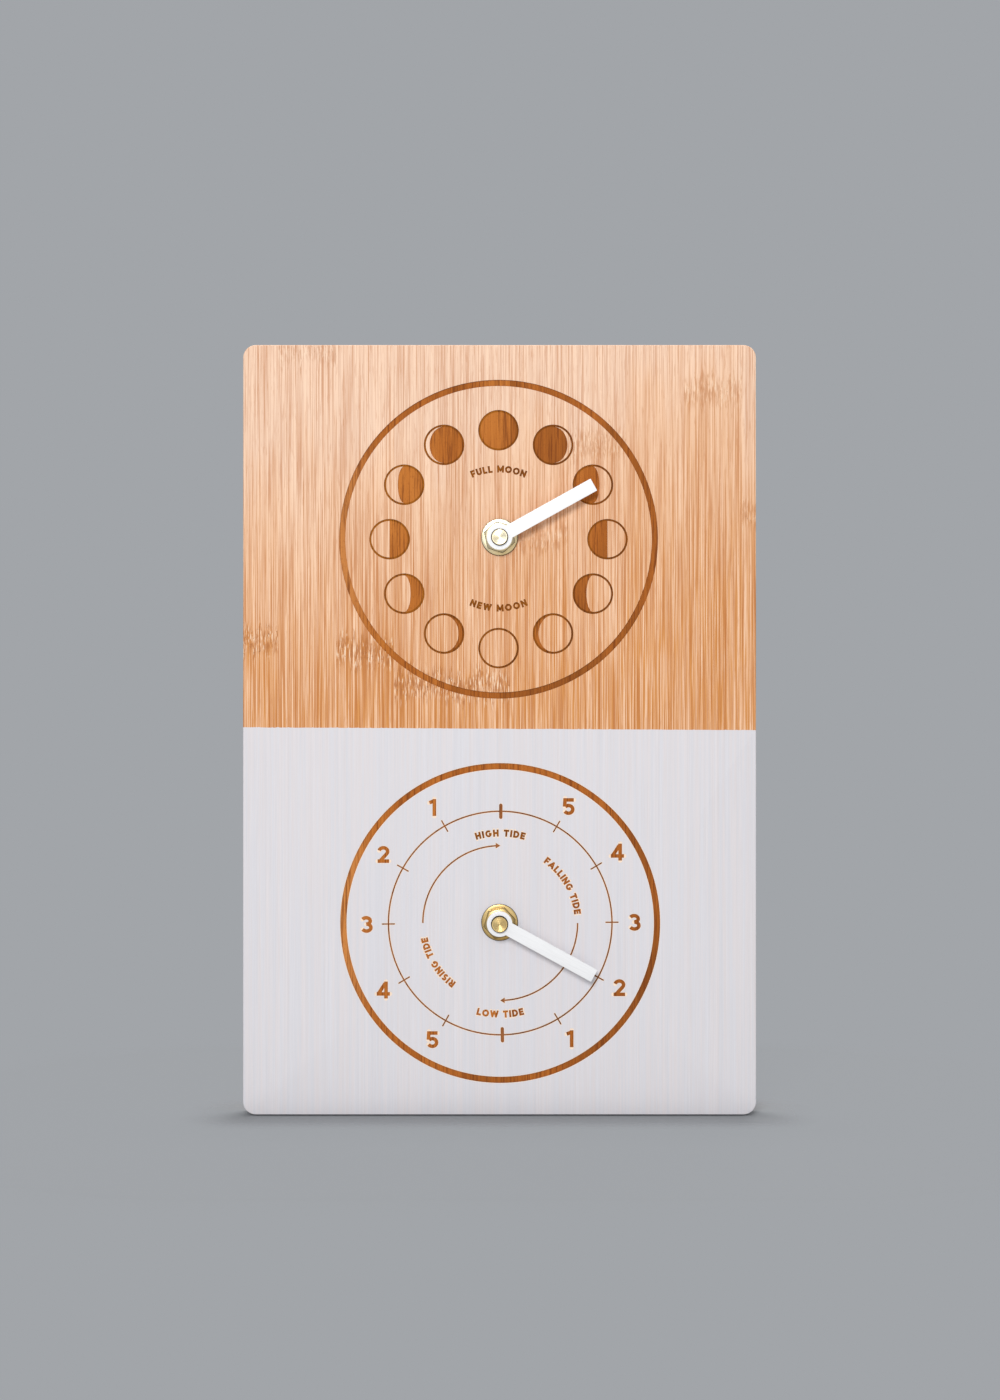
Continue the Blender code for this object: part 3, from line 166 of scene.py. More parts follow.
class HubLook(bpy.types.PropertyGroup):
    """Colours of the hands and their brass."""

    # Painted highlight: the moon hub's brass is paler than the tide hub's, standing in for the glare on it.
    moon_brass: colour("Moon brass", "Pale plating of the moon dial's hub", 0.93, 0.85, 0.63)
    tide_brass: colour("Tide brass", "Plating of the tide dial's hub", 0.62, 0.46, 0.205)
    hand: colour("Hand", "White finish of the hands", 0.848, 0.853, 0.868)
    # Painted shade: dark metal put in the caps' steps, the hands' seats, the washers' rims and the nuts' front edges.
    painted_shade: colour("Groove", "Darkened metal of grooves, rims and seats", 0.060, 0.045, 0.024)
    thread_turns: turns("Thread turns", "Turns of thread along each bushing", 18, 1)


class MovementLook(bpy.types.PropertyGroup):
    """Colours and turns of the movements."""

    case: colour("Case", "Moulded case of the movement", 0.028, 0.028, 0.031)
    copper: colour("Copper", "Enamelled copper wire of the coil", 0.80, 0.30, 0.12)
    coil_turns: turns("Coil turns", "Turns of wire that show on the coil", 58, 4)


class StageLook(bpy.types.PropertyGroup):
    """Camera, background and lamps."""

    background: colour("Background", "Colour behind the clock", 0.361, 0.376, 0.397)
    camera_distance: length("Camera distance", "Distance of the camera from the dials", 950.0)
    camera_rise: length("Camera rise", "Height of the camera above the middle of the picture", 40.0)
    frame_height: length("Frame height", "Height of the picture at the dials", 545.5)
    key_power: power("Key light", "Power of the large lamp above the camera", 31.2)
    fill_power: power("Fill light", "Power of the large lamp behind the camera", 7.1)
    top_power: power("Top light", "Power of the lamp over the floor", 7.3)


# Mesh building

class Shell:
    """Corners and faces of one mesh, gathered before it becomes an object."""

    def __init__(self):
        self.points, self.faces, self.finishes = [], [], []

    def add(self, points, faces, finish=0):
        first = len(self.points)
        self.points.extend(tuple(point) for point in points)
        self.faces.extend(tuple(first + corner for corner in face) for face in faces)
        self.finishes.extend([finish] * len(faces))

    def build(self, name, materials, outward=False):
        mesh = bpy.data.meshes.new(name)
        mesh.from_pydata(self.points, [], self.faces)
        mesh.polygons.foreach_set("material_index", self.finishes)
        for material in materials:
            mesh.materials.append(material)
        work = bmesh.new()
        work.from_mesh(mesh)
        bmesh.ops.remove_doubles(work, verts=work.verts, dist=MERGE_DISTANCE)
        bmesh.ops.dissolve_degenerate(work, edges=work.edges, dist=MERGE_DISTANCE / 4)
        if outward:
            bmesh.ops.recalc_face_normals(work, faces=work.faces)
        work.to_mesh(mesh)
        work.free()
        piece = bpy.data.objects.new(name, mesh)
        bpy.context.scene.collection.objects.link(piece)
        return smoothed(piece)


def smoothed(piece, angle=SHARP_ANGLE):
    piece.data.shade_smooth()
    piece.data.set_sharp_from_angle(angle=angle)
    return piece


def apply_modifiers(piece):
    """Turns a piece with modifiers into the plain mesh that they give."""
    graph = bpy.context.evaluated_depsgraph_get()
    mesh = bpy.data.meshes.new_from_object(piece.evaluated_get(graph), depsgraph=graph)
    piece.modifiers.clear()
    old = piece.data
    piece.data = mesh
    bpy.data.meshes.remove(old)
    mesh.name = piece.name
    return smoothed(piece)


def settle(piece, body, slot, *replaced):
    """Hands a finished piece to the frame."""
    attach(piece, body)
    if replaced:
        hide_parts(*replaced)


def stand_for(piece, slot, name):
    """Hands the frame a finished piece in the place of a CAD node."""
    settle(piece, frame["nodes"][name]["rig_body"], slot, name)


def circle_points(radius, count, centre=(0.0, 0.0)):
    angles = np.arange(count) * 2 * math.pi / count
    return np.array(centre) + radius * np.column_stack((np.cos(angles), np.sin(angles)))


def arc_points(centre, radii, start, end, count):
    """Points of an elliptical arc; angles in degrees, anticlockwise from the right."""
    angles = np.radians(np.linspace(start, end, count))
    return np.array(centre) + np.column_stack((np.cos(angles), np.sin(angles))) * radii


def clock_direction(degrees):
    """Unit vector for an angle that runs clockwise from the top."""
    angle = math.radians(degrees)
    return np.array((math.sin(angle), math.cos(angle)))


def ring_faces(count, kept=None):
    """Faces between two rings of points, or those of them that are kept."""
    return [((i + 1) % count, i, i + count, (i + 1) % count + count)
            for i in range(count) if kept is None or kept[i]]


def revolve(shell, place, profile, count, finishes=None, start=0.0, lying=False):
    """Turns (radius, distance) pairs round an axis that runs forward from y = 0, or lies along x from a place.

    A pair may hold a value for each direction.
    """
    axis, across, up = ((1, 0, 0), (0, 0, 1), (0, 1, 0)) if lying else ((0, -1, 0), (1, 0, 0), (0, 0, 1))
    origin = np.array(place if lying else (place.x, 0.0, place.z))
    angles = start + np.arange(count) * 2 * math.pi / count
    ways = np.outer(np.cos(angles), across) + np.outer(np.sin(angles), up)
    for band, pairs in enumerate(zip(profile, profile[1:])):
        points = []
        for pair in pairs:
            radius, distance = (np.broadcast_to(value, count)[:, None] for value in pair)
            points.extend(origin + ways * radius + np.array(axis) * distance)
        shell.add(points, ring_faces(count), finishes[band] if finishes else 0)


def turned(name, materials, place, profile, count, *others, **more):
    """A closed piece turned from one profile."""
    shell = Shell()
    revolve(shell, place, profile, count, *others, **more)
    return shell.build(name, materials, outward=True)


# Marks of the dials: shapes are lists of loops of (x, z) points round each dial's centre

WORD_WEIGHT = 0.76 * MM
DIGIT_WEIGHT = 1.40 * MM
WORD_GAP = 0.36
MOON_SIDES = 72
MOON_EDGES = (0.79, 0.35, 0.0, -0.35, -0.79)
TICK_ANGLES = (0.3, 30.3, 59.3, 89.6, 119.0, 149.0, 178.9, 209.2, 239.3, 269.5, 299.4, 330.2)
TICK_ENDS = (41.2 * MM, 45.9 * MM)
BROAD_TICK = 1.3 * MM
ARROW_HEAD = (1.75 * MM, 1.1 * MM)

# Digit, angle from the top in degrees, millimetres that it stands outside the digit circle
HOURS = (("5", 30.4, 0.3), ("4", 58.8, 1.1), ("3", 89.7, 0.0), ("2", 118.5, 0.5), ("1", 149.0, 0.3),
         ("5", 210.2, 0.3), ("4", 240.2, 0.2), ("3", 269.4, -0.2), ("2", 300.4, 0.5), ("1", 329.6, -0.1))

# Word, radius of its baseline, angle of its middle, its length, and 1 for tops outward or -1 for inward
MOON_WORDS = (("FULL MOON", 26.0, 0.0, 22.0, 1), ("NEW MOON", 28.2, 180.0, 22.4, -1))
HIGH_TIDE = (("HIGH TIDE", 33.7, 0.0, 19.6, 1),)
TIDE_WORDS = (("LOW TIDE", 36.9, 180.0, 18.3, -1), ("FALLING TIDE", 29.0, 59.4, 25.4, 1),
              ("RISING TIDE", 28.8, 237.8, 22.2, 1))


def stroke(points, half, closed=False):
    """Outline of a line of even width along points, as one loop or as two where it is closed."""
    points = np.asarray(points, float)
    if closed:
        ahead, behind = np.roll(points, -1, axis=0), np.roll(points, 1, axis=0)
    else:
        ahead = np.vstack((points[1:], points[-1:]))
        behind = np.vstack((points[:1], points[:-1]))
    along = ahead - behind
    along /= np.linalg.norm(along, axis=1)[:, None]
    side = np.column_stack((-along[:, 1], along[:, 0])) * half
    if closed:
        return [points + side, points - side]
    return [np.vstack((points + side, (points - side)[::-1]))]


def pill(start, end, half, count=8):
    """Outline of a straight line with round ends."""
    heading = math.degrees(math.atan2(*(end - start)[::-1]))
    return [np.vstack([arc_points(point, (half, half), heading + turn - 90, heading + turn + 90, count)
                       for point, turn in ((end, 0), (start, 180))])]


def letter_strokes(letter, half):
    """Width of a letter or digit of height 1, and its strokes as lists of points."""
    low, high = half, 1 - half
    quarter = (1 - 2 * half) / 4

    def stem(x):
        return [(x, 0), (x, 1)]

    def bar(x0, x1, y):
        return [(x0, y), (x1, y)]

    def arc(x, y, rx, ry, start, end, count=14):
        return [tuple(point) for point in arc_points((x, y), (rx, ry), start, end, count)]

    def round_arc(width, y, ry, start, end):
        return arc(width / 2, y, width / 2 - half, ry, start, end)

    table = {
        "I": (2 * half, [stem(half)]),
        "1": (0.44, [stem(0.44 - half), [(0.44 - half, high), (0.04, 0.78)]]),
        "2": (0.72, [round_arc(0.72, high - 1.1 * quarter, 1.1 * quarter, 165, -42) + [(half * 1.5, low)],
                     bar(0.02, 0.70, low)]),
        "3": (0.74, [round_arc(0.70, high - 0.95 * quarter, 0.95 * quarter, 150, -90),
                     round_arc(0.74, low + 1.05 * quarter, 1.05 * quarter, 90, -150)]),
        "4": (0.78, [stem(0.55), [(0.50, high), (half * 0.9, 0.27)], bar(0.0, 0.78, 0.27)]),
        "5": (0.72, [bar(0.12, 0.67, high), [(0.16, 1), (0.13, 0.50)],
                     round_arc(0.72, 0.335, 0.335 - half, 138, -150)]),
        "A": (0.92, [[(0.08, 0), (0.46, high)], [(0.84, 0), (0.46, high)], bar(0.2, 0.72, 0.27)]),
        "D": (0.84, [stem(half), [(half, high)] + arc(0.36, 0.5, 0.48 - half, 0.5 - half, 90, -90)
                     + [(half, low)]]),
        "E": (0.66, [stem(half), bar(half, 0.66, high), bar(half, 0.62, 0.5), bar(half, 0.66, low)]),
        "F": (0.64, [stem(half), bar(half, 0.64, high), bar(half, 0.60, 0.46)]),
        "G": (0.92, [round_arc(0.92, 0.5, 0.5 - half, 42, 352), bar(0.50, 0.90, 0.46)]),
        "H": (0.80, [stem(half), stem(0.80 - half), bar(half, 0.80 - half, 0.5)]),
        "L": (0.62, [stem(half), bar(half, 0.62, low)]),
        "M": (0.98, [stem(half), stem(0.98 - half), [(half, high), (0.49, 0.26)],
                     [(0.98 - half, high), (0.49, 0.26)]]),
        "N": (0.82, [stem(half), stem(0.82 - half), [(half, high), (0.82 - half, low)]]),
        "O": (0.98, [arc(0.49, 0.5, 0.49 - half, 0.5 - half, 0, 360, 29)[:-1]]),
        "R": (0.78, [stem(half), [(half, high)] + arc(0.42, 0.70, 0.34 - half, 0.30 - half, 90, -90)
                     + [(half, 0.40 + half)], [(0.42, 0.46), (0.68, 0.02)]]),
        "S": (0.70, [round_arc(0.70, high - quarter, quarter, 35, 270),
                     round_arc(0.70, low + quarter, quarter, 90, -145)]),
        "T": (0.74, [stem(0.37), bar(0, 0.74, high)]),
        "U": (0.80, [[(half, 1)] + arc(0.40, 0.38, 0.40 - half, 0.38 - half, 180, 360) + [(0.80 - half, 1)]]),
        "W": (1.20, [[(0.09, 1), (0.35, low)], [(0.35, low), (0.60, 0.96)], [(0.60, 0.96), (0.85, low)],
                     [(0.85, low), (1.11, 1)]]),
    }
    return table[letter]


def letter_shapes(letter, half, grow):
    """Width of one letter of height 1, and its shapes."""
    if letter == " ":
        return WORD_GAP, []
    width, strokes = letter_strokes(letter, half)
    half_grown = half + grow
    if letter == "O":
        return width, [stroke(strokes[0], half_grown, closed=True)]
    shapes = []
    for points in strokes:
        shapes.append(stroke(points, half_grown))
        if grow:
            shapes.extend([circle_points(half_grown, 10, end)] for end in (points[0], points[-1]))
    if letter in "AMNW":
        shapes.extend([circle_points(half_grown, 10, end)]
                      for points in strokes for end in points if half <= end[1] <= 1 - half)
    return width, shapes


def words(look, rows, grow=0.0):
    """Words bent round the dial's centre; grow widens their lines."""
    height = look.word_height
    shapes = []
    for word, baseline, middle, reach, turn in rows:
        baseline, reach = baseline * MM, reach * MM
        parts = [letter_shapes(letter, WORD_WEIGHT / height / 2, grow / height) for letter in word]
        spacing = (reach / height - sum(width for width, _ in parts)) / (len(parts) - 1)
        middle_radius = baseline + turn * height / 2
        at = -reach / height / 2
        for width, letters in parts:
            for loops in letters:
                bent = []
                for loop in loops:
                    angles = math.radians(middle) + turn * (at + loop[:, 0]) * height / middle_radius
                    radii = baseline + turn * loop[:, 1] * height
                    bent.append(np.column_stack((radii * np.sin(angles), radii * np.cos(angles))))
                shapes.append(bent)
            at += width + spacing
    return shapes


def ring_shape(radius, width, count):
    return [circle_points(radius + width / 2, count), circle_points(radius - width / 2, count)]


def moon_shape(look, place):
    """The burnt part of the moon at a clock place from 0 to 11: its outline and its lit side."""
    centre = clock_direction(place * 30) * look.moon_circle
    outer = circle_points(look.moon_radius, MOON_SIDES, centre)
    inner = look.moon_radius - look.fine_line
    if place == 0:
        return [outer]
    if place == 6:
        return [outer, circle_points(inner, MOON_SIDES, centre)]
    side = 1 if place < 6 else -1
    edge = MOON_EDGES[place % 6 - 1] * side
    lit_side = arc_points((0, 0), (inner, inner), 90, -90, 37)
    shade_line = arc_points((0, 0), (edge * inner, inner), -90, 90, 37)
    return [outer, np.vstack((lit_side, shade_line[1:-1])) * (side, 1) + centre]


def moon_outlines(look):
    """Deeper line round every moon."""
    radius = look.moon_radius - look.fine_line / 2
    return [[loop + clock_direction(place * 30) * look.moon_circle
             for loop in ring_shape(radius, look.fine_line, MOON_SIDES)] for place in range(12)]


def arrow_shapes(look, start, end, grow):
    """An arrow along the arrow circle, clockwise from start to end in degrees."""
    head_length, head_half = ARROW_HEAD
    radius = look.arrow_circle
    turns_along = np.radians(np.linspace(start, end - math.degrees(head_length / radius) / 2, 48))
    line = radius * np.column_stack((np.sin(turns_along), np.cos(turns_along)))
    ahead, side = clock_direction(end + 90), clock_direction(end)
    base = side * radius - ahead * (head_length + grow)
    wing = side * (head_half + grow * 1.6)
    head = np.array((side * radius + ahead * grow * 2, base + wing, base - wing))
    return [stroke(line, look.hour_line / 2 + grow), [head]]


def tide_lines(look, grow=0.0):
    """Circle, ticks and arrows of the tide dial; grow widens them all."""
    shapes = [ring_shape(look.hour_circle, look.hour_line + 2 * grow, 240)]
    for place, angle in enumerate(TICK_ANGLES):
        width = BROAD_TICK if place in (0, 6) else look.hour_line * 0.9
        near, far = (clock_direction(angle) * radius for radius in TICK_ENDS)
        shapes.append(pill(near, far, width / 2 + grow))
    return shapes + arrow_shapes(look, 270, 360, grow) + arrow_shapes(look, 90, 180, grow)


def tide_marks(look, grow=0.0):
    """Digits of the tide dial and its words but one; grow widens them all."""
    height = look.digit_height
    shapes = []
    for digit, angle, outward in HOURS:
        centre = clock_direction(angle) * (look.digit_circle + outward * MM)
        width, strokes = letter_shapes(digit, DIGIT_WEIGHT / height / 2, grow / height)
        corner = centre - np.array((width, 1.0)) * height / 2
        shapes += [[loop * height + corner for loop in loops] for loops in strokes]
    return shapes + words(look, TIDE_WORDS, grow)


def placed(look, shapes, dial):
    """Shapes round a dial's centre, moved to the board."""
    first = 2 * DIALS.index(dial)
    centre = np.array((AXES[dial].x, AXES[dial].z)) + look.dial_shift[first:first + 2]
    return [[loop + centre for loop in loops] for loops in shapes]


def ring_marks(look, grow=0.0):
    shapes = []
    for dial, radius in zip(DIALS, look.ring_radius):
        shapes += placed(look, [ring_shape(radius, look.ring_width + 2 * grow, 288)], dial)
    return shapes


def all_loops(*groups):
    return [loop for group in groups for loops in group for loop in loops]


# The board

SCORCH_THICKNESS = 0.03 * MM

# The coat's share of its recess, and the raggedness of its upper edge
COAT_SHARE = 0.96
PAINT_SEED = 11
PAINT_STEPS = 420
PAINT_WANDER = 0.10 * MM
PAINT_CREEP = 0.22 * MM

# How far above the paint's edge the middle and the top of the coat's side faces may be,
# and how far the two sides of the edge are apart where it is closed to a loop
SIDE_REACH, SIDE_LIMIT = 0.6 * MM, 0.1 * MM
SLIT = 1e-7


def board_outline(look, inset, heights=()):
    """Anticlockwise outline inside the board's edge, with points at heights on its left and right side."""
    x0, x1 = BOARD_LOW.x + inset, BOARD_HIGH.x - inset
    z0, z1 = BOARD_LOW.z + inset, BOARD_HIGH.z - inset
    r = look.corner_radius - inset
    points = []
    for cx, cz, start in ((x1 - r, z0 + r, -90), (x1 - r, z1 - r, 0), (x0 + r, z1 - r, 90), (x0 + r, z0 + r, 180)):
        points.append(arc_points((cx, cz), (r, r), start, start + 90, 13))
        if heights and start in (-90, 90):
            points.append([(x1, heights[1]) if start < 0 else (x0, heights[0])])
    return np.vstack(points)


def inside_loops(points, loops):
    """Which points are inside an odd number of the loops."""
    low = np.min([loop.min(axis=0) for loop in loops], axis=0)
    high = np.max([loop.max(axis=0) for loop in loops], axis=0)
    near = np.nonzero(((points >= low) & (points <= high)).all(axis=1))[0]
    x, z = points[near, 0], points[near, 1]
    odd = np.zeros(len(near), bool)
    for loop in loops:
        for (ax, az), (bx, bz) in zip(loop, np.roll(loop, -1, axis=0)):
            if az != bz:
                odd ^= ((az > z) != (bz > z)) & (x < ax + (z - az) * (bx - ax) / (bz - az))
    result = np.zeros(len(points), bool)
    result[near] = odd
    return result


def triangulate(loops):
    """Triangles over everything inside the first loop, with an edge along every loop."""
    points, edges = [], []
    for loop in loops:
        first = len(points)
        points.extend(Vector(point) / MM for point in loop)
        edges.extend((first + i, first + (i + 1) % len(loop)) for i in range(len(loop)))
    corners, _, faces, _, _, _ = delaunay_2d_cdt(points, edges, [], 0, 1e-4, False)
    return np.array([tuple(corner) for corner in corners]) * MM, [tuple(face) for face in faces]


class Face:
    """A flat face, split into triangles that each have a depth, or none where it is open."""

    def __init__(self, loops, depth=0.0):
        self.corners, self.triangles = triangulate(loops)
        self.centres = np.array([self.corners[list(face)].mean(axis=0) for face in self.triangles])
        self.depths = np.full(len(self.triangles), depth)
        self.owners = {(face[i], face[(i + 1) % 3]): index
                       for index, face in enumerate(self.triangles) for i in range(3)}

    def set_depth(self, shapes, depth):
        for loops in shapes:
            self.depths[inside_loops(self.centres, loops)] = depth

    def levels(self):
        return sorted(set(self.depths[~np.isnan(self.depths)]))


def nested_face(*loops_and_depths):
    """A face between loops that each set the depth inside them; it is open outside the first."""
    face = Face([loop for loop, _ in loops_and_depths], OPEN)
    for loop, depth in loops_and_depths:
        face.set_depth([[loop]], depth)
    return face


def in_front(corners, depth):
    return [(x, -depth, z) for x, z in corners]


def add_face(shell, face, front, floor_finish=1, inward=-1.0):
    """The face at its depths, with walls between triangles of different depth."""
    count = len(face.corners)
    levels = {depth: level * count for level, depth in enumerate(face.levels())}
    base = len(shell.points)
    for depth in levels:
        shell.add(in_front(face.corners, front + inward * depth), [])
    tops, floors, walls = [], [], []
    for index, corners in enumerate(face.triangles):
        depth = face.depths[index]
        if np.isnan(depth):
            continue
        level = levels[depth]
        (floors if depth > 0 else tops).append([level + corner for corner in corners])
        for a, b in zip(corners, corners[1:] + corners[:1]):
            other = face.owners.get((b, a))
            if other is not None and face.depths[other] > depth:
                below = levels[face.depths[other]]
                walls.append((level + b, level + a, below + a, below + b))
    for faces, kind in ((tops, 0), (floors, floor_finish), (walls, floor_finish)):
        shell.faces.extend(tuple(base + corner for corner in corners) for corners in faces)
        shell.finishes.extend([kind] * len(faces))


def add_bands(shell, loops_at_depths, kept=None):
    """Bands between outlines that have the same number of points, each at its depth."""
    for near, far in zip(loops_at_depths, loops_at_depths[1:]):
        shell.add(in_front(*near) + in_front(*far), ring_faces(len(near[0]), kept))


def edge_profile(radius, steps=4):
    """(inset, drop) pairs that round an edge by a quarter circle."""
    angles = [math.pi / 2 * step / steps for step in range(steps + 1)]
    return [(radius * (1 - math.sin(angle)), radius * (1 - math.cos(angle))) for angle in angles]


def bore_loops(look):
    return [circle_points(look.bore_radius, 48, (AXES[dial].x, AXES[dial].z)) for dial in DIALS]


def paint_heights(look):
    """Heights of the paint's upper edge at the left and right side of the board."""
    top = BOARD_HIGH.z - look.paint_drop
    return top + look.paint_slope / 2, top - look.paint_slope / 2


def paint_edge(look):
    """Upper edge of the paint across the face, slightly ragged where it crept along the grain."""
    random = np.random.default_rng(PAINT_SEED)
    x = np.linspace(BOARD_LOW.x, BOARD_HIGH.x, PAINT_STEPS)
    line = np.linspace(*paint_heights(look), PAINT_STEPS)
    wander = np.convolve(random.normal(0, PAINT_WANDER, PAINT_STEPS), np.ones(9) / 9, "same")
    creep = np.where(random.random(PAINT_STEPS) > 0.86, random.random(PAINT_STEPS) * PAINT_CREEP, 0.0)
    line[1:-1] += (wander + creep)[1:-1]
    return np.column_stack((x, line))


def make_board(look, wood, burnt):
    """The bamboo board with its bores and the recesses of both dials."""
    inset = look.paint_thickness
    front, back = -BOARD_LOW.y - inset, -BOARD_HIGH.y
    profile = edge_profile(look.edge_round)
    fronts = [(board_outline(look, inset + gap), front - drop) for gap, drop in profile]
    backs = [(board_outline(look, inset + gap), back + drop) for gap, drop in reversed(profile)]
    moons = [moon_shape(look, place) for place in range(12)]
    rings = ring_marks(look)
    marks = placed(look, moons, "moon") + placed(look, tide_marks(look), "tide")
    lines = placed(look, moon_outlines(look) + words(look, MOON_WORDS), "moon")
    lines += placed(look, words(look, HIGH_TIDE), "tide")
    hours = placed(look, tide_lines(look), "tide")
    bores = bore_loops(look)
    holes = [[bore] for bore in bores]

    shell = Shell()
    face = Face([fronts[0][0]] + all_loops(rings, marks, lines, hours) + bores)
    for shapes, depth in ((rings, look.ring_depth - inset), (marks, look.mark_depth),
                          (lines, look.line_depth), (hours, look.hour_depth), (holes, OPEN)):
        face.set_depth(shapes, depth)
    add_face(shell, face, front)
    add_bands(shell, fronts + backs)
    reverse = Face([backs[-1][0]] + bores)
    reverse.set_depth(holes, OPEN)
    kept = [corners[::-1] for corners, depth in zip(reverse.triangles, reverse.depths) if not np.isnan(depth)]
    shell.add(in_front(reverse.corners, back), kept)
    for bore in bores:
        add_bands(shell, [(bore[::-1], front), (bore[::-1], back)])
    return shell.build("bamboo_board", [wood, burnt]), face, front


def make_scorch(look, face, front, finishes):
    """Thin burnt layer on the floor of every recess: rings and numbers, moon dial's lines, tide dial's lines."""
    shell = Shell()
    count = len(face.corners)
    for depth in face.levels():
        if depth <= 0:
            continue
        floor = front - depth
        points = in_front(face.corners, floor + SCORCH_THICKNESS) + in_front(face.corners, floor)
        faces = []
        for index in np.nonzero(face.depths == depth)[0]:
            a, b, c = face.triangles[index]
            faces += [(a, b, c), (c + count, b + count, a + count)]
            for p, q in ((a, b), (b, c), (c, a)):
                other = face.owners.get((q, p))
                if other is None or face.depths[other] != depth:
                    faces.append((q, p, p + count, q + count))
        used = sorted({corner for corners in faces for corner in corners})
        renumber = {corner: i for i, corner in enumerate(used)}
        shell.add([points[corner] for corner in used],
                  [[renumber[corner] for corner in corners] for corners in faces],
                  {look.line_depth: 1, look.hour_depth: 2}.get(depth, 0))
    return shell.build("burnt_marks", finishes)


def make_coat(look, paint):
    """White coat over the lower half: face, rounded edge and sides, open round every mark."""
    left, right = paint_heights(look)
    front, back = -BOARD_LOW.y, -BOARD_HIGH.y
    levels = [(board_outline(look, gap, (left, right)), front - drop) for gap, drop in edge_profile(look.edge_round)]
    levels.append((board_outline(look, 0.0, (left, right)), back + look.edge_round))
    grow = look.paint_rim
    marks = placed(look, tide_marks(look, grow) + words(look, HIGH_TIDE, grow) + tide_lines(look, grow), "tide")
    marks = ring_marks(look, grow)[1:] + marks
    bore = bore_loops(look)[1]
    edge = paint_edge(look)
    region = np.vstack((edge, [(BOARD_HIGH.x, BOARD_LOW.z), (BOARD_LOW.x, BOARD_LOW.z)]))

    inner = levels[0][0]
    first, last = inner[:, 0].min(), inner[:, 0].max()
    edge_inside = edge[(edge[:, 0] > first) & (edge[:, 0] < last)]
    strip = np.vstack(([(first, left)], edge_inside, [(last, right)]))
    closed_strip = np.vstack((strip, strip[::-1][1:-1] + (0.0, SLIT)))
    face = Face([inner, closed_strip] + all_loops(marks) + [bore], OPEN)
    face.set_depth([[region]], 0.0)
    face.set_depth(marks + [[bore]], OPEN)

    shell = Shell()
    add_face(shell, face, front)
    heights = levels[-1][0][:, 1]
    kept = [(h + n) / 2 < min(left, right) + SIDE_REACH and max(h, n) < max(left, right) + SIDE_LIMIT
            for h, n in zip(heights, np.roll(heights, -1))]
    add_bands(shell, levels, kept)
    piece = shell.build("white_paint_coat", [paint])
    solid = piece.modifiers.new("thickness", "SOLIDIFY")
    solid.thickness = look.paint_thickness * COAT_SHARE
    solid.offset = -1.0
    return apply_modifiers(piece)


# Node materials

def add_node(tree, kind, inputs=(), **settings):
    """A node with its settings, whose inputs are set to values or linked to other nodes."""
    node = tree.nodes.new(kind)
    for setting, value in settings.items():
        setattr(node, setting, value)
    for socket, value in dict(inputs).items():
        value = getattr(value, "socket", value)
        if isinstance(value, bpy.types.NodeSocket):
            tree.links.new(value, node.inputs[socket])
        else:
            node.inputs[socket].default_value = value
    return node


class Value:
    """A number, vector or colour that a node gives, with the arithmetic of numbers."""

    def __init__(self, socket):
        self.socket = socket

    def into(self, kind, inputs, **settings):
        """A node in the same tree."""
        return add_node(self.socket.id_data, kind, inputs, **settings)

    def math(self, operation, *others, clamp=False):
        inputs = dict(enumerate((self, *others)))
        return Value(self.into("ShaderNodeMath", inputs, operation=operation, use_clamp=clamp).outputs[0])

    def vector(self, operation, *others, output=0):
        inputs = dict(enumerate((self, *others)))
        return Value(self.into("ShaderNodeVectorMath", inputs, operation=operation).outputs[output])

    def __add__(self, other):
        return self.math("ADD", other)

    def __sub__(self, other):
        return self.math("SUBTRACT", other)

    def __mul__(self, other):
        return self.math("MULTIPLY", other)

    def __truediv__(self, other):
        return self.math("DIVIDE", other)

    def __abs__(self):
        return self.math("ABSOLUTE")

    def spread(self, low, high):
        """Maps 0..1 to low..high."""
        return self.math("MULTIPLY_ADD", high - low, low)

    def band(self, start, end):
        """0 before start, 1 after end, smooth between."""
        inputs = {"Value": self, "From Min": start, "From Max": end}
        return Value(self.into("ShaderNodeMapRange", inputs, interpolation_type="SMOOTHSTEP").outputs[0])

    def parts(self):
        """x, y and z of a vector."""
        return [Value(part) for part in self.into("ShaderNodeSeparateXYZ", {0: self}).outputs]

    def ramp(self, stops, interpolation="LINEAR"):
        """Colour or grey level that a number from 0 to 1 stands for."""
        node = self.into("ShaderNodeValToRGB", {0: self})
        ramp = node.color_ramp
        ramp.interpolation = interpolation
        while len(ramp.elements) < len(stops):
            ramp.elements.new(1.0)
        for element, (position, tone) in zip(ramp.elements, stops):
            element.position = position
            element.color = (*np.broadcast_to(tone, 3), 1.0)
        return Value(node.outputs[0])


def tint(base, *gains):
    """A colour with its channels multiplied, each by its own gain or all by one, and held to 1."""
    return tuple(min(1.0, channel * gain) for channel, gain in zip(base, gains * (3 // len(gains))))


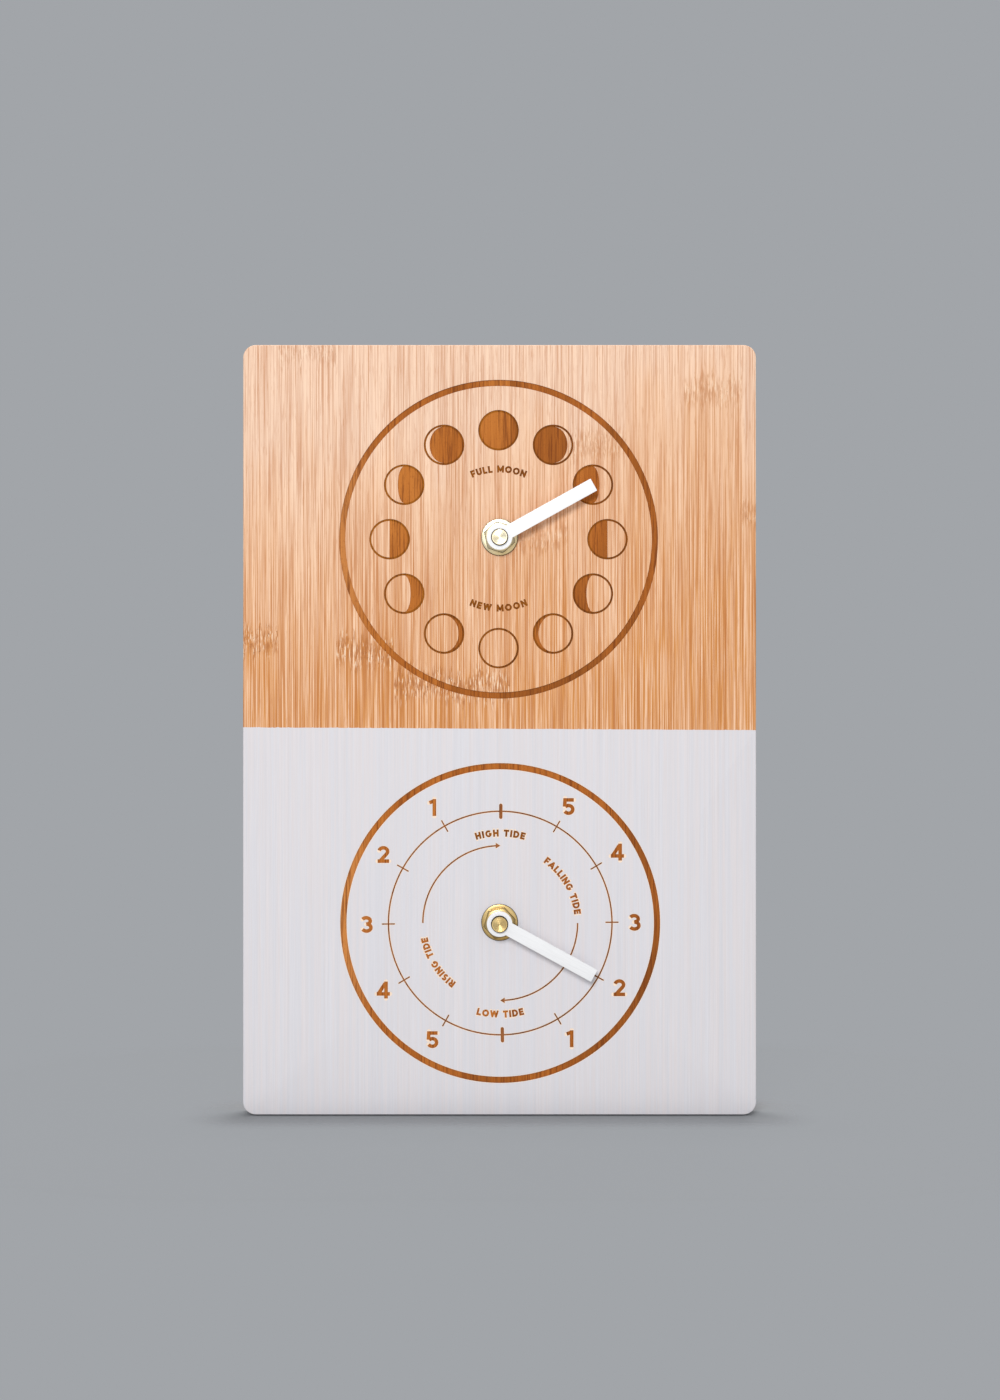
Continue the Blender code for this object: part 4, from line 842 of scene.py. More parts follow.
class Finish:
    """A node material with a Principled shader, and short calls for the nodes that feed it."""

    def __init__(self, name, roughness=0.5, metallic=0.0, specular=0.5):
        self.material = bpy.data.materials.new(name)
        self.material.use_nodes = True
        self.tree = self.material.node_tree
        self.shader = self.tree.nodes["Principled BSDF"]
        for socket, value in (("Roughness", roughness), ("Metallic", metallic), ("Specular IOR Level", specular)):
            self.shader.inputs[socket].default_value = value

    def node(self, kind, inputs=(), output=0, **settings):
        return Value(add_node(self.tree, kind, inputs, **settings).outputs[output])

    def place(self, scale=1000.0, move=(0.0, 0.0, 0.0), turn=0.0):
        """Object coordinates, stretched by scale, in millimetres if none is given."""
        coordinates = self.node("ShaderNodeTexCoord", output="Object")
        return self.node("ShaderNodeMapping", {"Vector": coordinates, "Location": move, "Rotation": (0.0, turn, 0.0),
                                               "Scale": tuple(np.broadcast_to(scale, 3))})

    def combine(self, *parts):
        return self.node("ShaderNodeCombineXYZ", dict(enumerate(parts)))

    def noise(self, vector, detail, roughness):
        return self.node("ShaderNodeTexNoise", {"Vector": vector, "Scale": 1.0, "Detail": detail,
                                                "Roughness": roughness})

    def grain(self, scale, detail=3.0, roughness=0.6):
        return self.noise(self.place(scale), detail, roughness)

    def mix(self, factor, first, second, blend="MIX"):
        first, second = (shade if isinstance(shade, Value) else (*shade, 1.0) for shade in (first, second))
        return self.node("ShaderNodeMix", {0: factor, 6: first, 7: second}, 2, data_type="RGBA", blend_type=blend)

    def layered(self, shade, *layers):
        """A colour with others laid over it, each with its share."""
        for share, over in layers:
            shade = self.mix(share, shade, over)
        return shade

    def done(self, shade, roughness, height, microns):
        """Feeds the shader, with a bump whose height in 0..1 stands for a depth, and gives the material."""
        bump = self.node("ShaderNodeBump", {"Height": height, "Distance": microns * MICRON, "Strength": 1.0})
        for socket, value in (("Base Color", shade), ("Roughness", roughness), ("Normal", bump)):
            self.tree.links.new(value.socket, self.shader.inputs[socket])
        return self.material


# Bamboo strips, in millimetres: their width, where one starts right of the moon dial's centre,
# the height of the knuckle in each, and the distance between the two dials
STRIP_WIDTH = 22.6
STRIP_START = 4.1
KNUCKLE_HEIGHTS = (-40.3, 72.9, -44.3, -57.0, -58.5, 0.5, 36.6, -96.0, 57.0, 9.3)
KNUCKLE_RANGE = 400.0
KNUCKLE_RAGGED = 11.0
DIAL_STEP = 150.0
STRIP_OFFSET = 7.31

# Fibres of each finish: stretch across and along the grain, detail and roughness of the noise
BAMBOO_FIBRES = ((3.0, 0.024, 2.0, 0.60), (1.9, 0.010, 2.0, 0.60), (0.50, 0.008, 3.0, 0.62),
                 (0.06, 0.022, 2.0, 0.55), (2.6, 0.13, 2.0, 0.6), (2.1, 0.22, 2.0, 0.62), (1.9, 1.1, 1.0, 0.5))
BURNT_FIBRES = ((1.25, 0.014, 4.0, 0.68), (1.6, 0.05, 3.0, 0.65), (3.0, 0.9, 2.0, 0.6), (0.05, 0.025, 1.0, 0.5))
PAINT_FIBRES = ((1.2, 0.008, 4.0, 0.7), (0.8, 0.010, 3.0, 0.6), (2.6, 0.06, 2.0, 0.6), (0.09, 0.012, 1.0, 0.5))

KNUCKLE_SILVER = (0.96, 0.80, 0.62)
KNUCKLE_PORE = (0.16, 0.06, 0.02)
PRIMED_WOOD = (0.93, 0.78, 0.63)
LEFT_RING_TONE = (0.66, 0.30, 0.10)


class WoodFinish(Finish):
    """A finish that follows the board's strips, by millimetres from the moon dial's centre."""

    def __init__(self, name, roughness, specular=0.5):
        super().__init__(name, roughness, specular=specular)
        centre = AXES["moon"]
        self.x, self.y, self.z = self.place(move=(-centre.x / MM, 0.0, -centre.z / MM)).parts()
        self.strip = ((self.x - STRIP_START) / STRIP_WIDTH).math("FLOOR")

    def fibres(self, across, along, detail, roughness):
        """Noise that runs along the grain and starts afresh in every strip."""
        return self.noise(self.combine(self.x * across, self.y * across + self.strip * STRIP_OFFSET, self.z * along),
                          detail, roughness)

    def knuckles(self):
        """How far a point lies in a knuckle of its strip, and in the deeper wood below it, from 0 to 1."""
        stops = [(index / 10, height / KNUCKLE_RANGE + 0.5) for index, height in enumerate(KNUCKLE_HEIGHTS)]
        height = (((self.strip + 5.5) / 10.0).ramp(stops, "CONSTANT") - 0.5) * KNUCKLE_RANGE
        ragged = self.fibres(0.8, 0.05, 3.0, 0.6).spread(-KNUCKLE_RAGGED, KNUCKLE_RAGGED)
        away = self.z - height + ragged
        return abs(away).band(8.0, 2.0), away.band(1.0, -5.0) * away.band(-48.0, -12.0)


def bamboo_finish(look):
    """Pressed bamboo: strips of fine upright fibres with a knuckle in each."""
    finish = WoodFinish("bamboo", 0.6, 0.25)
    x, y, z = finish.x, finish.y, finish.z
    fine, line, streak, patch, fleck, dash, pore = (finish.fibres(*row) for row in BAMBOO_FIBRES)
    strip_tone = finish.node("ShaderNodeTexWhiteNoise", {"W": finish.strip}, noise_dimensions="1D")
    strength = z.math("MULTIPLY_ADD", -0.012, 0.50, clamp=True).math("MAXIMUM", 0.50)
    knuckle, below = (share * strength for share in finish.knuckles())
    # The tone deepens downwards and to the right: partly the bamboo's own colour, partly painted light that is
    # brighter at the top left.
    drift = z * -0.0088 + 0.50 + x * 0.0017 + strip_tone.spread(-0.08, 0.08) + patch.spread(-0.30, 0.30)
    drift = drift + below * 0.20 + knuckle * 0.30
    tone = drift.math("ADD", streak.spread(-0.25, 0.25), clamp=True)

    pale, deep = look.wood_pale, look.wood_deep
    middle = [(a + b) / 2 for a, b in zip(pale, deep)]
    light, dark = tint(pale, 1.16, 1.27, 1.38), tint(deep, 0.74, 0.60, 0.60)
    shade = tone.ramp(((0.0, tint(pale, 1.01, 1.10, 1.23)), (0.22, pale), (0.58, middle), (1.0, deep)))
    calm = z.band(60.0, -45.0).spread(0.72, 1.05)
    shade = finish.layered(
        shade,
        (fine.band(0.51, 0.60) * calm * 0.70, dark), (fine.band(0.49, 0.40) * calm * 0.60, light),
        (line.band(0.52, 0.60) * calm * 0.30, dark), (line.band(0.50, 0.42) * calm * 0.24, light),
        (fleck.band(0.58, 0.66) * 0.30, dark),
        (dash.band(0.52, 0.44) * knuckle * 0.80, tint(dark, 0.86)),
        (dash.band(0.57, 0.62) * knuckle * 0.62, KNUCKLE_SILVER),
        (pore.band(0.70, 0.75) * knuckle * 0.80, KNUCKLE_PORE),
        (z.band(-75.5, -77.5) * y.band(-27.0, -27.4) * 0.85, PRIMED_WOOD))
    return finish.done(shade, fine.spread(0.50, 0.72), fine + fleck * 0.5, 50)


def burnt_finish(name, burnt):
    """Engraved bamboo: the same fibres, scorched, darker to the right and towards the top and bottom of each dial,
    paler at its far left.
    """
    finish = WoodFinish(name, 0.75, 0.15)
    x, z = finish.x, finish.z
    fine, dense, grit, drift = (finish.fibres(*row) for row in BURNT_FIBRES)
    height = z + z.band(-75.0, -76.0) * DIAL_STEP
    foot = x * 0.0048 + height * -0.0008 + abs(height) * 0.0040 - 0.10
    tone = (fine.spread(-0.35, 0.85) + drift.spread(-0.55, 0.95)).math("ADD", foot, clamp=True)
    deep = tint(burnt, 0.42, 0.34, 0.45)
    shade = tone.ramp(((0.0, tint(burnt, 1.30, 1.50, 1.9)), (0.45, burnt), (1.0, tint(burnt, 0.60))))
    shade = finish.layered(shade, (x.band(-47.0, -60.0) * 0.38, LEFT_RING_TONE), (dense.band(0.51, 0.63) * 0.74, deep),
                           (grit.band(0.58, 0.70) * 0.35, deep))
    return finish.done(shade, dense.spread(0.65, 0.85), dense, 60)


def paint_finish(look):
    """Thin white paint that still shows the fibres as faint upright streaks."""
    finish = WoodFinish("white_paint", 0.5)
    streak, warmth, fine, strength = (finish.fibres(*row) for row in PAINT_FIBRES)
    warm, cool = tint(look.paint, 1.018, 1.0, 0.985), tint(look.paint, 0.978, 1.0, 1.015)
    shade = finish.mix(warmth.band(0.36, 0.64), warm, cool)
    level = (streak.spread(-0.11, 0.11) + fine.spread(-0.05, 0.05)) * strength.spread(0.1, 1.7) + 1.0
    shade = finish.mix(1.0, shade, level, "MULTIPLY")
    return finish.done(shade, streak.spread(0.42, 0.58), streak + fine * 0.5, 40)


def brass_finish(name, brass, axis, lower_shade):
    """Plated brass with a fine turned grain, with painted shade darkening the lower right of the hub."""
    finish = Finish(name, 0.26, 0.86)
    grain, cloud = finish.grain(2600.0), finish.grain(160.0, 3.0, 0.55)
    x, _, z = finish.place(move=(-axis.x / MM, 0.0, -axis.z / MM)).parts()
    # Painted shade over the lower right of the hub, its edge broken up by the cloud noise.
    foot = (cloud * 2.0 + x * -0.50 + z).band(3.0, -6.5)
    shade = finish.mix(cloud.band(0.35, 0.75), brass, tint(brass, 0.88, 0.81, 0.68))
    shade = finish.mix(foot * lower_shade, shade, tint(brass, 0.54, 0.42, 0.22))
    return finish.done(shade, cloud.spread(0.24, 0.38) + grain.spread(-0.03, 0.06), grain, 4)


def hand_finish(name, white, degrees):
    """White hand: fine brush lines along the hand over an even coat."""
    finish = Finish(name, 0.38)
    along, through, across = finish.place(260.0, turn=math.radians(degrees)).parts()
    lines = finish.noise(finish.combine(along * 0.6, through, across * 28.0), 2.0, 0.55)
    shade = finish.mix(lines.band(0.35, 0.70), white, tint(white, 0.93))
    return finish.done(shade, lines.spread(0.30, 0.46), lines, 6)


def moulded_finish(name, base, roughness, grain, depth, spread):
    """Moulded plastic or rubber: fine spark-eroded grain with a little cloudiness."""
    finish = Finish(name, roughness)
    spark, cloud = finish.grain(grain), finish.grain(70.0, 2.0, 0.5)
    shade = finish.mix(cloud.band(0.3, 0.7), tint(base, 1 - spread), tint(base, 1 + spread))
    return finish.done(shade, spark.spread(roughness - 0.08, roughness + 0.10), spark, depth)


def metal_finish(name, base, roughness, grain, depth, spread):
    """Bare or plated metal with a directional grain and faint stains."""
    finish = Finish(name, roughness, 1.0)
    lines, stain = finish.grain(grain), finish.grain(120.0, 3.0, 0.55)
    shade = finish.mix(stain.band(0.4, 0.75), base, tint(base, 1 - spread))
    return finish.done(shade, lines.spread(roughness - 0.07, roughness + 0.09), lines, depth)


def circuit_finish(name):
    """Green solder mask over copper tracks."""
    finish = Finish(name, 0.34)
    x, _, z = finish.place().parts()
    tracks, gaps, *_ = add_node(finish.tree, "ShaderNodeTexBrick", {
        "Vector": finish.combine(x, z), "Color1": (0.016, 0.120, 0.048, 1.0), "Color2": (0.022, 0.145, 0.058, 1.0),
        "Mortar": (0.060, 0.250, 0.090, 1.0), "Scale": 1.0, "Mortar Size": 0.16, "Brick Width": 4.3,
        "Row Height": 1.45}).outputs
    cloud = finish.grain(180.0, 2.0, 0.5)
    shade = finish.mix(cloud * 0.4, Value(tracks), (0.010, 0.090, 0.040))
    return finish.done(shade, cloud.spread(0.26, 0.44), gaps, 40)


def cell_finish(name, centre):
    """Printed sleeve of a cell along X: dark, with a copper band and a plus at one end and a minus at the other."""
    finish = Finish(name, 0.3, 0.35)
    x, y, z = finish.place(move=tuple(-value / MM for value in centre)).parts()
    height = z.math("ARCTAN2", y) * 7.25
    scratch, cloud = finish.grain((60.0, 900.0, 900.0)), finish.grain(90.0, 2.0, 0.5)

    def bar(middle, half_length, half_height):
        return abs(x - middle).math("LESS_THAN", half_length) * abs(height).math("LESS_THAN", half_height)

    shade = finish.layered(
        finish.mix(cloud, (0.018, 0.020, 0.024), (0.040, 0.043, 0.050)),
        (x.band(11.9, 12.1), finish.mix(cloud, (0.62, 0.27, 0.10), (0.74, 0.36, 0.16))),
        (abs(x - 10.9).math("LESS_THAN", 0.3), (0.55, 0.52, 0.46)),
        (bar(18.0, 2.0, 0.45).math("MAXIMUM", bar(18.0, 0.45, 2.0)), (0.03, 0.03, 0.035)),
        (bar(-19.0, 1.8, 0.45), (0.62, 0.60, 0.56)))
    return finish.done(shade, scratch.spread(0.22, 0.42), scratch, 6)


def movement_finishes(look):
    """Finishes of the movements' pieces, from colour, roughness, grain, its depth and the colour's spread."""
    moulded = {
        "rubber": ((0.030, 0.030, 0.031), 0.80, 700.0, 30, 0.25),
        "case_plastic": (look.case, 0.48, 1100.0, 14, 0.18),
        "knob_plastic": ((0.62, 0.60, 0.56), 0.45, 900.0, 10, 0.06),
        "wheel_plastic": ((0.80, 0.76, 0.66), 0.40, 800.0, 6, 0.05),
        "white_plastic": ((0.82, 0.82, 0.80), 0.38, 800.0, 6, 0.04),
        "black_resin": ((0.015, 0.015, 0.016), 0.30, 500.0, 20, 0.25),
    }
    metals = {
        "magnet": ((0.17, 0.17, 0.18), 0.42, 300.0, 10, 0.25),
        "soft_iron": ((0.50, 0.50, 0.49), 0.34, (90.0, 2000.0, 1400.0), 5, 0.18),
        "copper_wire": (look.copper, 0.30, 1500.0, 5, 0.22),
        "nickel": ((0.76, 0.74, 0.69), 0.24, (220.0, 1800.0, 900.0), 5, 0.12),
    }
    finishes = {name: moulded_finish(name, *row) for name, row in moulded.items()}
    finishes.update({name: metal_finish(name, *row) for name, row in metals.items()})
    finishes["circuit_green"] = circuit_finish("circuit_green")
    return finishes


# The stage

# Middle of the picture, to the right of the board's middle and above it
PICTURE_MIDDLE = (0.16 * MM, 11.61 * MM)
ROOM_LIGHT = 0.46

# Floor: shares of the background's brightness from near to far, and distances in metres
FLOOR_RADIUS = 0.9
FLOOR_DROP = 0.5 * MM
FLOOR_TONES = (0.78, 0.73)
FLOOR_TURN = (0.05, 0.40)
FLOOR_SOFT, SOFT_SHARE = (0.001, 0.027), 0.88
FLOOR_END = (0.03, 0.16)
BACK_SHARE = 0.3


def make_camera(look):
    """Square to the dials and above the picture's middle, with the lens shifted down to it."""
    camera = bpy.data.cameras.new("camera")
    camera.sensor_width = 36.0
    camera.lens = camera.sensor_width * look.camera_distance / look.frame_height
    camera.shift_y = -look.camera_rise / look.frame_height
    camera.clip_start = 0.05
    holder = bpy.data.objects.new("camera", camera)
    height = (BOARD_LOW.z + BOARD_HIGH.z) / 2 + PICTURE_MIDDLE[1] + look.camera_rise
    holder.location = (PICTURE_MIDDLE[0], BOARD_LOW.y - look.camera_distance, height)
    holder.rotation_euler = (math.radians(90), 0.0, 0.0)
    bpy.context.scene.collection.objects.link(holder)
    bpy.context.scene.camera = holder


def make_world(look):
    """Soft white room for light, plain background for the camera, for reflections and through glass."""
    world = bpy.data.worlds.new("room")
    bpy.context.scene.world = world
    world.use_nodes = True
    tree = world.node_tree
    room = tree.nodes["Background"]
    room.inputs["Color"].default_value = (1.0, 1.0, 1.0, 1.0)
    room.inputs["Strength"].default_value = ROOM_LIGHT
    shown = add_node(tree, "ShaderNodeBackground", {"Color": (*look.background, 1.0)})
    rays = tree.nodes.new("ShaderNodeLightPath").outputs
    seen = rays["Is Camera Ray"]
    for ray in ("Is Glossy Ray", "Is Transmission Ray"):
        seen = add_node(tree, "ShaderNodeMath", {0: seen, 1: rays[ray]}, operation="MAXIMUM").outputs[0]
    mix = add_node(tree, "ShaderNodeMixShader", {0: seen, 1: room.outputs[0], 2: shown.outputs[0]})
    tree.links.new(mix.outputs[0], tree.nodes["World Output"].inputs[0])


def make_floor(look):
    """Pale floor under the clock that fades into the background, by the distance from the clock's foot."""
    shell = Shell()
    height = BOARD_LOW.z - FLOOR_DROP
    centre_y = (BOARD_LOW.y + BOARD_HIGH.y) / 2
    shell.add([(x, y + centre_y, height) for x, y in circle_points(FLOOR_RADIUS, 96)], [range(96)])
    finish = Finish("floor", 0.9)
    place = finish.place(1.0, (0.0, -centre_y, 0.0))
    near, far = (tint(look.background, tone) for tone in FLOOR_TONES)
    shade = finish.mix(abs(place.parts()[1]).band(*FLOOR_TURN), near, far)
    finish.tree.links.new(shade.socket, finish.shader.inputs["Base Color"])
    half = (BOARD_HIGH - BOARD_LOW) / 2
    past = place.vector("ABSOLUTE").vector("SUBTRACT", (half.x, half.y, 0.0)).vector("MAXIMUM", (0.0, 0.0, 0.0))
    beyond = past.vector("MULTIPLY", (1.0, 1.0, 0.0)).vector("LENGTH", output="Value")
    faded = (beyond.band(*FLOOR_SOFT) * SOFT_SHARE).math("MAXIMUM", beyond.band(*FLOOR_END))
    clear = finish.node("ShaderNodeBsdfTransparent")
    mix = finish.node("ShaderNodeMixShader", {0: faded, 1: finish.shader.outputs[0], 2: clear})
    finish.tree.links.new(mix.socket, finish.tree.nodes["Material Output"].inputs[0])
    shell.build("floor", [finish.material])


def make_lamps(look):
    """Key and fill in front, one lamp over the floor and one behind: place, target, size and power."""
    middle = (BOARD_LOW + BOARD_HIGH) / 2
    for name, place, target, size, watts in (
            ("key", (-0.35, -2.08, middle.z + 0.92), middle, (0.7, 0.7), look.key_power),
            ("fill", (0.3, -2.25, middle.z - 0.55), middle, (1.6, 1.6), look.fill_power),
            ("top", (0.0, 0.10, middle.z + 1.3), (0.0, -0.02, BOARD_LOW.z), (0.30, 0.16), look.top_power),
            ("back", (0.6, 1.7, middle.z + 0.3), middle, (1.0, 1.0), look.key_power * BACK_SHARE)):
        lamp = bpy.data.lights.new(name, "AREA")
        lamp.shape = "RECTANGLE"
        lamp.size, lamp.size_y = size
        lamp.energy = watts
        holder = bpy.data.objects.new(name, lamp)
        turn = (Vector(target) - Vector(place)).to_track_quat("-Z", "Y").to_matrix().to_4x4()
        holder.matrix_world = Matrix.Translation(place) @ turn
        holder.visible_camera = False
        bpy.context.scene.collection.objects.link(holder)


# Hands and hubs

SEAT_RADIUS = 3.34 * MM
SEAT_DEPTH = 0.35 * MM
HAND_EASE = 0.09 * MM
NUT_FACE = 0.955
NUT_CHAMFER = math.tan(math.radians(32))
NUT_LEAD = 0.25 * MM
NUT_RIM = 0.13 * MM
CAP_RINGS = 18
CAP_RIPPLE = 0.028 * MM
CAP_SHARP = math.radians(12)
THREAD_RIDGE = 0.24 * MM
THREAD_SIDES = 4
# Shares of painted shade over the lower right of the hubs' brass; the caps take less.
HUB_LOWER_SHADE = 0.75
CAP_LOWER_SHADE = {"moon": 0.15, "tide": 0.45}
HAND_DEGREES = {"moon": 29.1, "tide": -28.7}
# Painted highlight: the moon hand is whiter than the tide hand, standing in for the glare on it.
HAND_GLARE_GAIN = {"moon": 1.11, "tide": 1.0}


def about_axis(name, axis):
    """Corners of a node as (x, z) from an axis along Y, their distances from it and their depths."""
    points = node_points(name)
    away = points[:, (0, 2)] - (axis.x, axis.z)
    return away, np.hypot(away[:, 0], away[:, 1]), -points[:, 1]


def reach_of(radii, depths):
    return radii.min(), radii.max(), depths.min(), depths.max()


def make_washer(name, axis, brass, painted_shade):
    """Flat washer with a slightly domed face and a rounded rim painted dark as shade."""
    bore, rim, back, front = reach_of(*about_axis(name, axis)[1:])
    profile = [(bore, back), (rim - 0.1 * MM, back), (rim, back + 0.1 * MM), (rim, front - 0.28 * MM),
               (rim - 0.07 * MM, front - 0.17 * MM), (rim - 0.20 * MM, front - 0.12 * MM),
               (rim - 1.2 * MM, front), (bore, front), (bore, back)]
    return turned(f"{name}_turned", [brass, painted_shade], axis, profile, 96, [0, 1, 1, 1, 1, 0, 0, 0])


def make_nut(name, axis, brass, painted_shade):
    """Hexagonal nut whose round chamfers leave curved corners on both faces, with the front edge of its flats painted
    dark as shade.
    """
    away, radii, depths = about_axis(name, axis)
    bore, corner, back, front = reach_of(radii, depths)
    count, sixth = 96, math.pi / 3
    flat = corner * math.cos(sixth / 2)
    sides = flat / np.cos(np.arange(count) * 2 * math.pi / count % sixth - sixth / 2)
    face = flat * NUT_FACE
    drop = (sides - face) * NUT_CHAMFER
    profile = [(bore, back + NUT_LEAD), (bore + NUT_LEAD, back), (face, back), (sides, back + drop),
               (sides, front - drop), (sides - NUT_RIM, front - drop + NUT_RIM * NUT_CHAMFER), (face, front),
               (bore + NUT_LEAD, front), (bore, front - NUT_LEAD), (bore, back + NUT_LEAD)]
    start = math.atan2(*away[radii.argmax()][::-1])
    return turned(f"{name}_chamfered", [brass, painted_shade], axis, profile, count, [0, 0, 0, 0, 1, 0, 0, 0, 0], start)


def make_cap(name, axis, brass, painted_shade):
    """Turned cap: a stem, a step round the front of the rim and a hollow face with tool rings; its back, stem,
    underside, side and step are painted dark as shade.
    """
    _, radii, depths = about_axis(name, axis)
    stem, rim, back, front = reach_of(radii, depths)
    head = depths[radii > rim * 0.99].min()
    profile = [(0.0, back), (stem, back), (stem, head), (rim, head), (rim, front - 0.62 * MM),
               (rim - 0.12 * MM, front - 0.50 * MM), (rim - 0.12 * MM, front - 0.12 * MM), (rim - 0.24 * MM, front)]
    for ring in range(CAP_RINGS + 1):
        share = 1 - ring / CAP_RINGS
        drop = 0.10 * MM * (1 - share) + CAP_RIPPLE * (ring % 2)
        profile.append(((rim - 0.50 * MM) * share, front - drop))
    finishes = [1] * 6 + [0] * (CAP_RINGS + 2)
    return smoothed(turned(f"{name}_turned", [brass, painted_shade], axis, profile, 72, finishes), CAP_SHARP)


def make_hand(name, axis, white, painted_shade):
    """Flat stamped hand with eased edges, a seat round the cap painted dark as shade, and a collar behind."""
    away, radii, depths = about_axis(name, axis)
    bore, reach, back, front = reach_of(radii, depths)
    tip = away[radii > reach * 0.98]
    heading = math.atan2(*tip.mean(axis=0)[::-1])
    along = np.array((math.cos(heading), math.sin(heading)))
    side = np.array((-along[1], along[0]))
    reach, half = (tip @ along).max(), np.abs(tip @ side).max()
    head = radii[radii < reach / 2].max()
    collar = radii[depths < back + 0.1 * MM].max()
    plate = depths[radii > reach / 2].min()
    centre = np.array((axis.x, axis.z))

    def outline(inset):
        spread = math.degrees(math.asin((half - inset) / (head - inset)))
        arc = arc_points((0.0, 0.0), (head - inset, head - inset), spread, 360 - spread, 65)
        end = [(reach - inset, inset - half), (reach - inset, half - inset)]
        return np.vstack((arc, end)) @ np.array((along, side)) + centre

    seat, hole, ring = (circle_points(radius, 64, centre) for radius in (SEAT_RADIUS, bore, collar))
    edge, eased = outline(0.0), outline(HAND_EASE)
    shell = Shell()
    add_face(shell, nested_face((eased, 0.0), (seat, SEAT_DEPTH), (hole, OPEN)), front)
    add_bands(shell, [(eased, front), (outline(HAND_EASE * 0.3), front - HAND_EASE * 0.3),
                      (edge, front - HAND_EASE), (edge, plate)])
    add_face(shell, nested_face((edge, 0.0), (ring, OPEN)), plate)
    revolve(shell, axis, [(collar, plate), (collar, back), (bore, back), (bore, front - SEAT_DEPTH)], 64)
    return shell.build(f"{name}_stamped", [white, painted_shade], outward=True)


HELIX_INPUTS = {"Geometry": "Geometry", "Turns": "Float", "Radius": "Float", "Length": "Float",
                "Wire radius": "Float", "Wire sides": "Int", "Place": "Vector", "Turn": "Rotation",
                "Material": "Material"}


def helix_group():
    """Node group that adds a wound wire or thread, along Z from the origin, to the mesh it is given."""
    group = bpy.data.node_groups.new("helix", "GeometryNodeTree")
    group.is_modifier = True
    group.interface.new_socket("Geometry", in_out="OUTPUT", socket_type="NodeSocketGeometry")
    for label, kind in HELIX_INPUTS.items():
        group.interface.new_socket(label, in_out="INPUT", socket_type=f"NodeSocket{kind}")
    given = group.nodes.new("NodeGroupInput").outputs

    def step(kind, **inputs):
        named = {label.replace("_", " "): value for label, value in inputs.items()}
        return add_node(group, f"GeometryNode{kind}", named).outputs[0]

    spiral = step("CurveSpiral", Resolution=24, Rotations=given["Turns"], Start_Radius=given["Radius"],
                  End_Radius=given["Radius"], Height=given["Length"])
    wire = step("CurvePrimitiveCircle", Radius=given["Wire radius"], Resolution=given["Wire sides"])
    swept = step("CurveToMesh", Fill_Caps=True, Curve=spiral, Profile_Curve=wire)
    moved = step("Transform", Geometry=swept, Translation=given["Place"], Rotation=given["Turn"])
    painted = step("SetMaterial", Geometry=moved, Material=given["Material"])
    joined = group.nodes.new("GeometryNodeJoinGeometry")
    for part in (painted, given["Geometry"]):
        group.links.new(part, joined.inputs[0])
    add_node(group, "NodeGroupOutput", {0: step("RealizeInstances", Geometry=joined.outputs[0])})
    return group


def wind(piece, group, **values):
    """Adds a helix to a piece and leaves it as a plain mesh."""
    winding = piece.modifiers.new("helix", "NODES")
    winding.node_group = group
    for item in group.interface.items_tree:
        label = item.name.replace(" ", "_").lower()
        if item.in_out == "INPUT" and label in values:
            winding[item.identifier] = values[label]
    return apply_modifiers(piece)


def add_thread(piece, group, material, axis, start, length, core, ridge, count):
    """Winds a thread round a shank that runs forward from a depth."""
    return wind(piece, group, turns=float(count), radius=core, length=length, wire_radius=ridge,
                wire_sides=THREAD_SIDES, place=(axis.x, -start, axis.z), turn=(math.radians(90), 0.0, 0.0),
                material=material)


def make_bushing(name, axis, brass, group, count):
    """Flanged bushing with a thread along its whole shank."""
    _, radii, depths = about_axis(name, axis)
    bore, flange, back, front = reach_of(radii, depths)
    core = radii[depths > front - 0.1 * MM].max() - THREAD_RIDGE
    seat = depths[radii > flange * 0.99].max()
    profile = [(bore, back), (flange - 0.15 * MM, back), (flange, back + 0.15 * MM), (flange, seat), (core, seat),
               (core, front), (bore, front), (bore, back)]
    piece = turned(f"{name}_threaded", [brass], axis, profile, 64)
    return add_thread(piece, group, brass, axis, seat + 2 * THREAD_RIDGE, front - seat - 4 * THREAD_RIDGE, core,
                      THREAD_RIDGE * 0.97, count)


# Movements

DRESSED = {
    "case_plastic": ("case_front",),
    "rubber": ("gasket",),
    "white_plastic": ("hour_wheel", "cannon_pinion", "gear_bridge", "coil_bobbin"),
    "wheel_plastic": ("motion_wheel", "centre_wheel", "third_wheel", "seconds_wheel", "intermediate_wheel"),
    "magnet": ("rotor",),
    "soft_iron": ("stator", "coil_core"),
    "circuit_green": ("circuit_board",),
    "black_resin": ("chip",),
    "nickel": ("crystal", "contact_minus", "contact_plus"),
}
CASE_MARK_DEPTH = 0.25 * MM
KNOB_MARK_DEPTH = 0.22 * MM
SIGN_ARM, SIGN_HALF = 1.15 * MM, 0.28 * MM
SCREW_RECESS = 0.75 * MM
SCREW_TURNS = 10


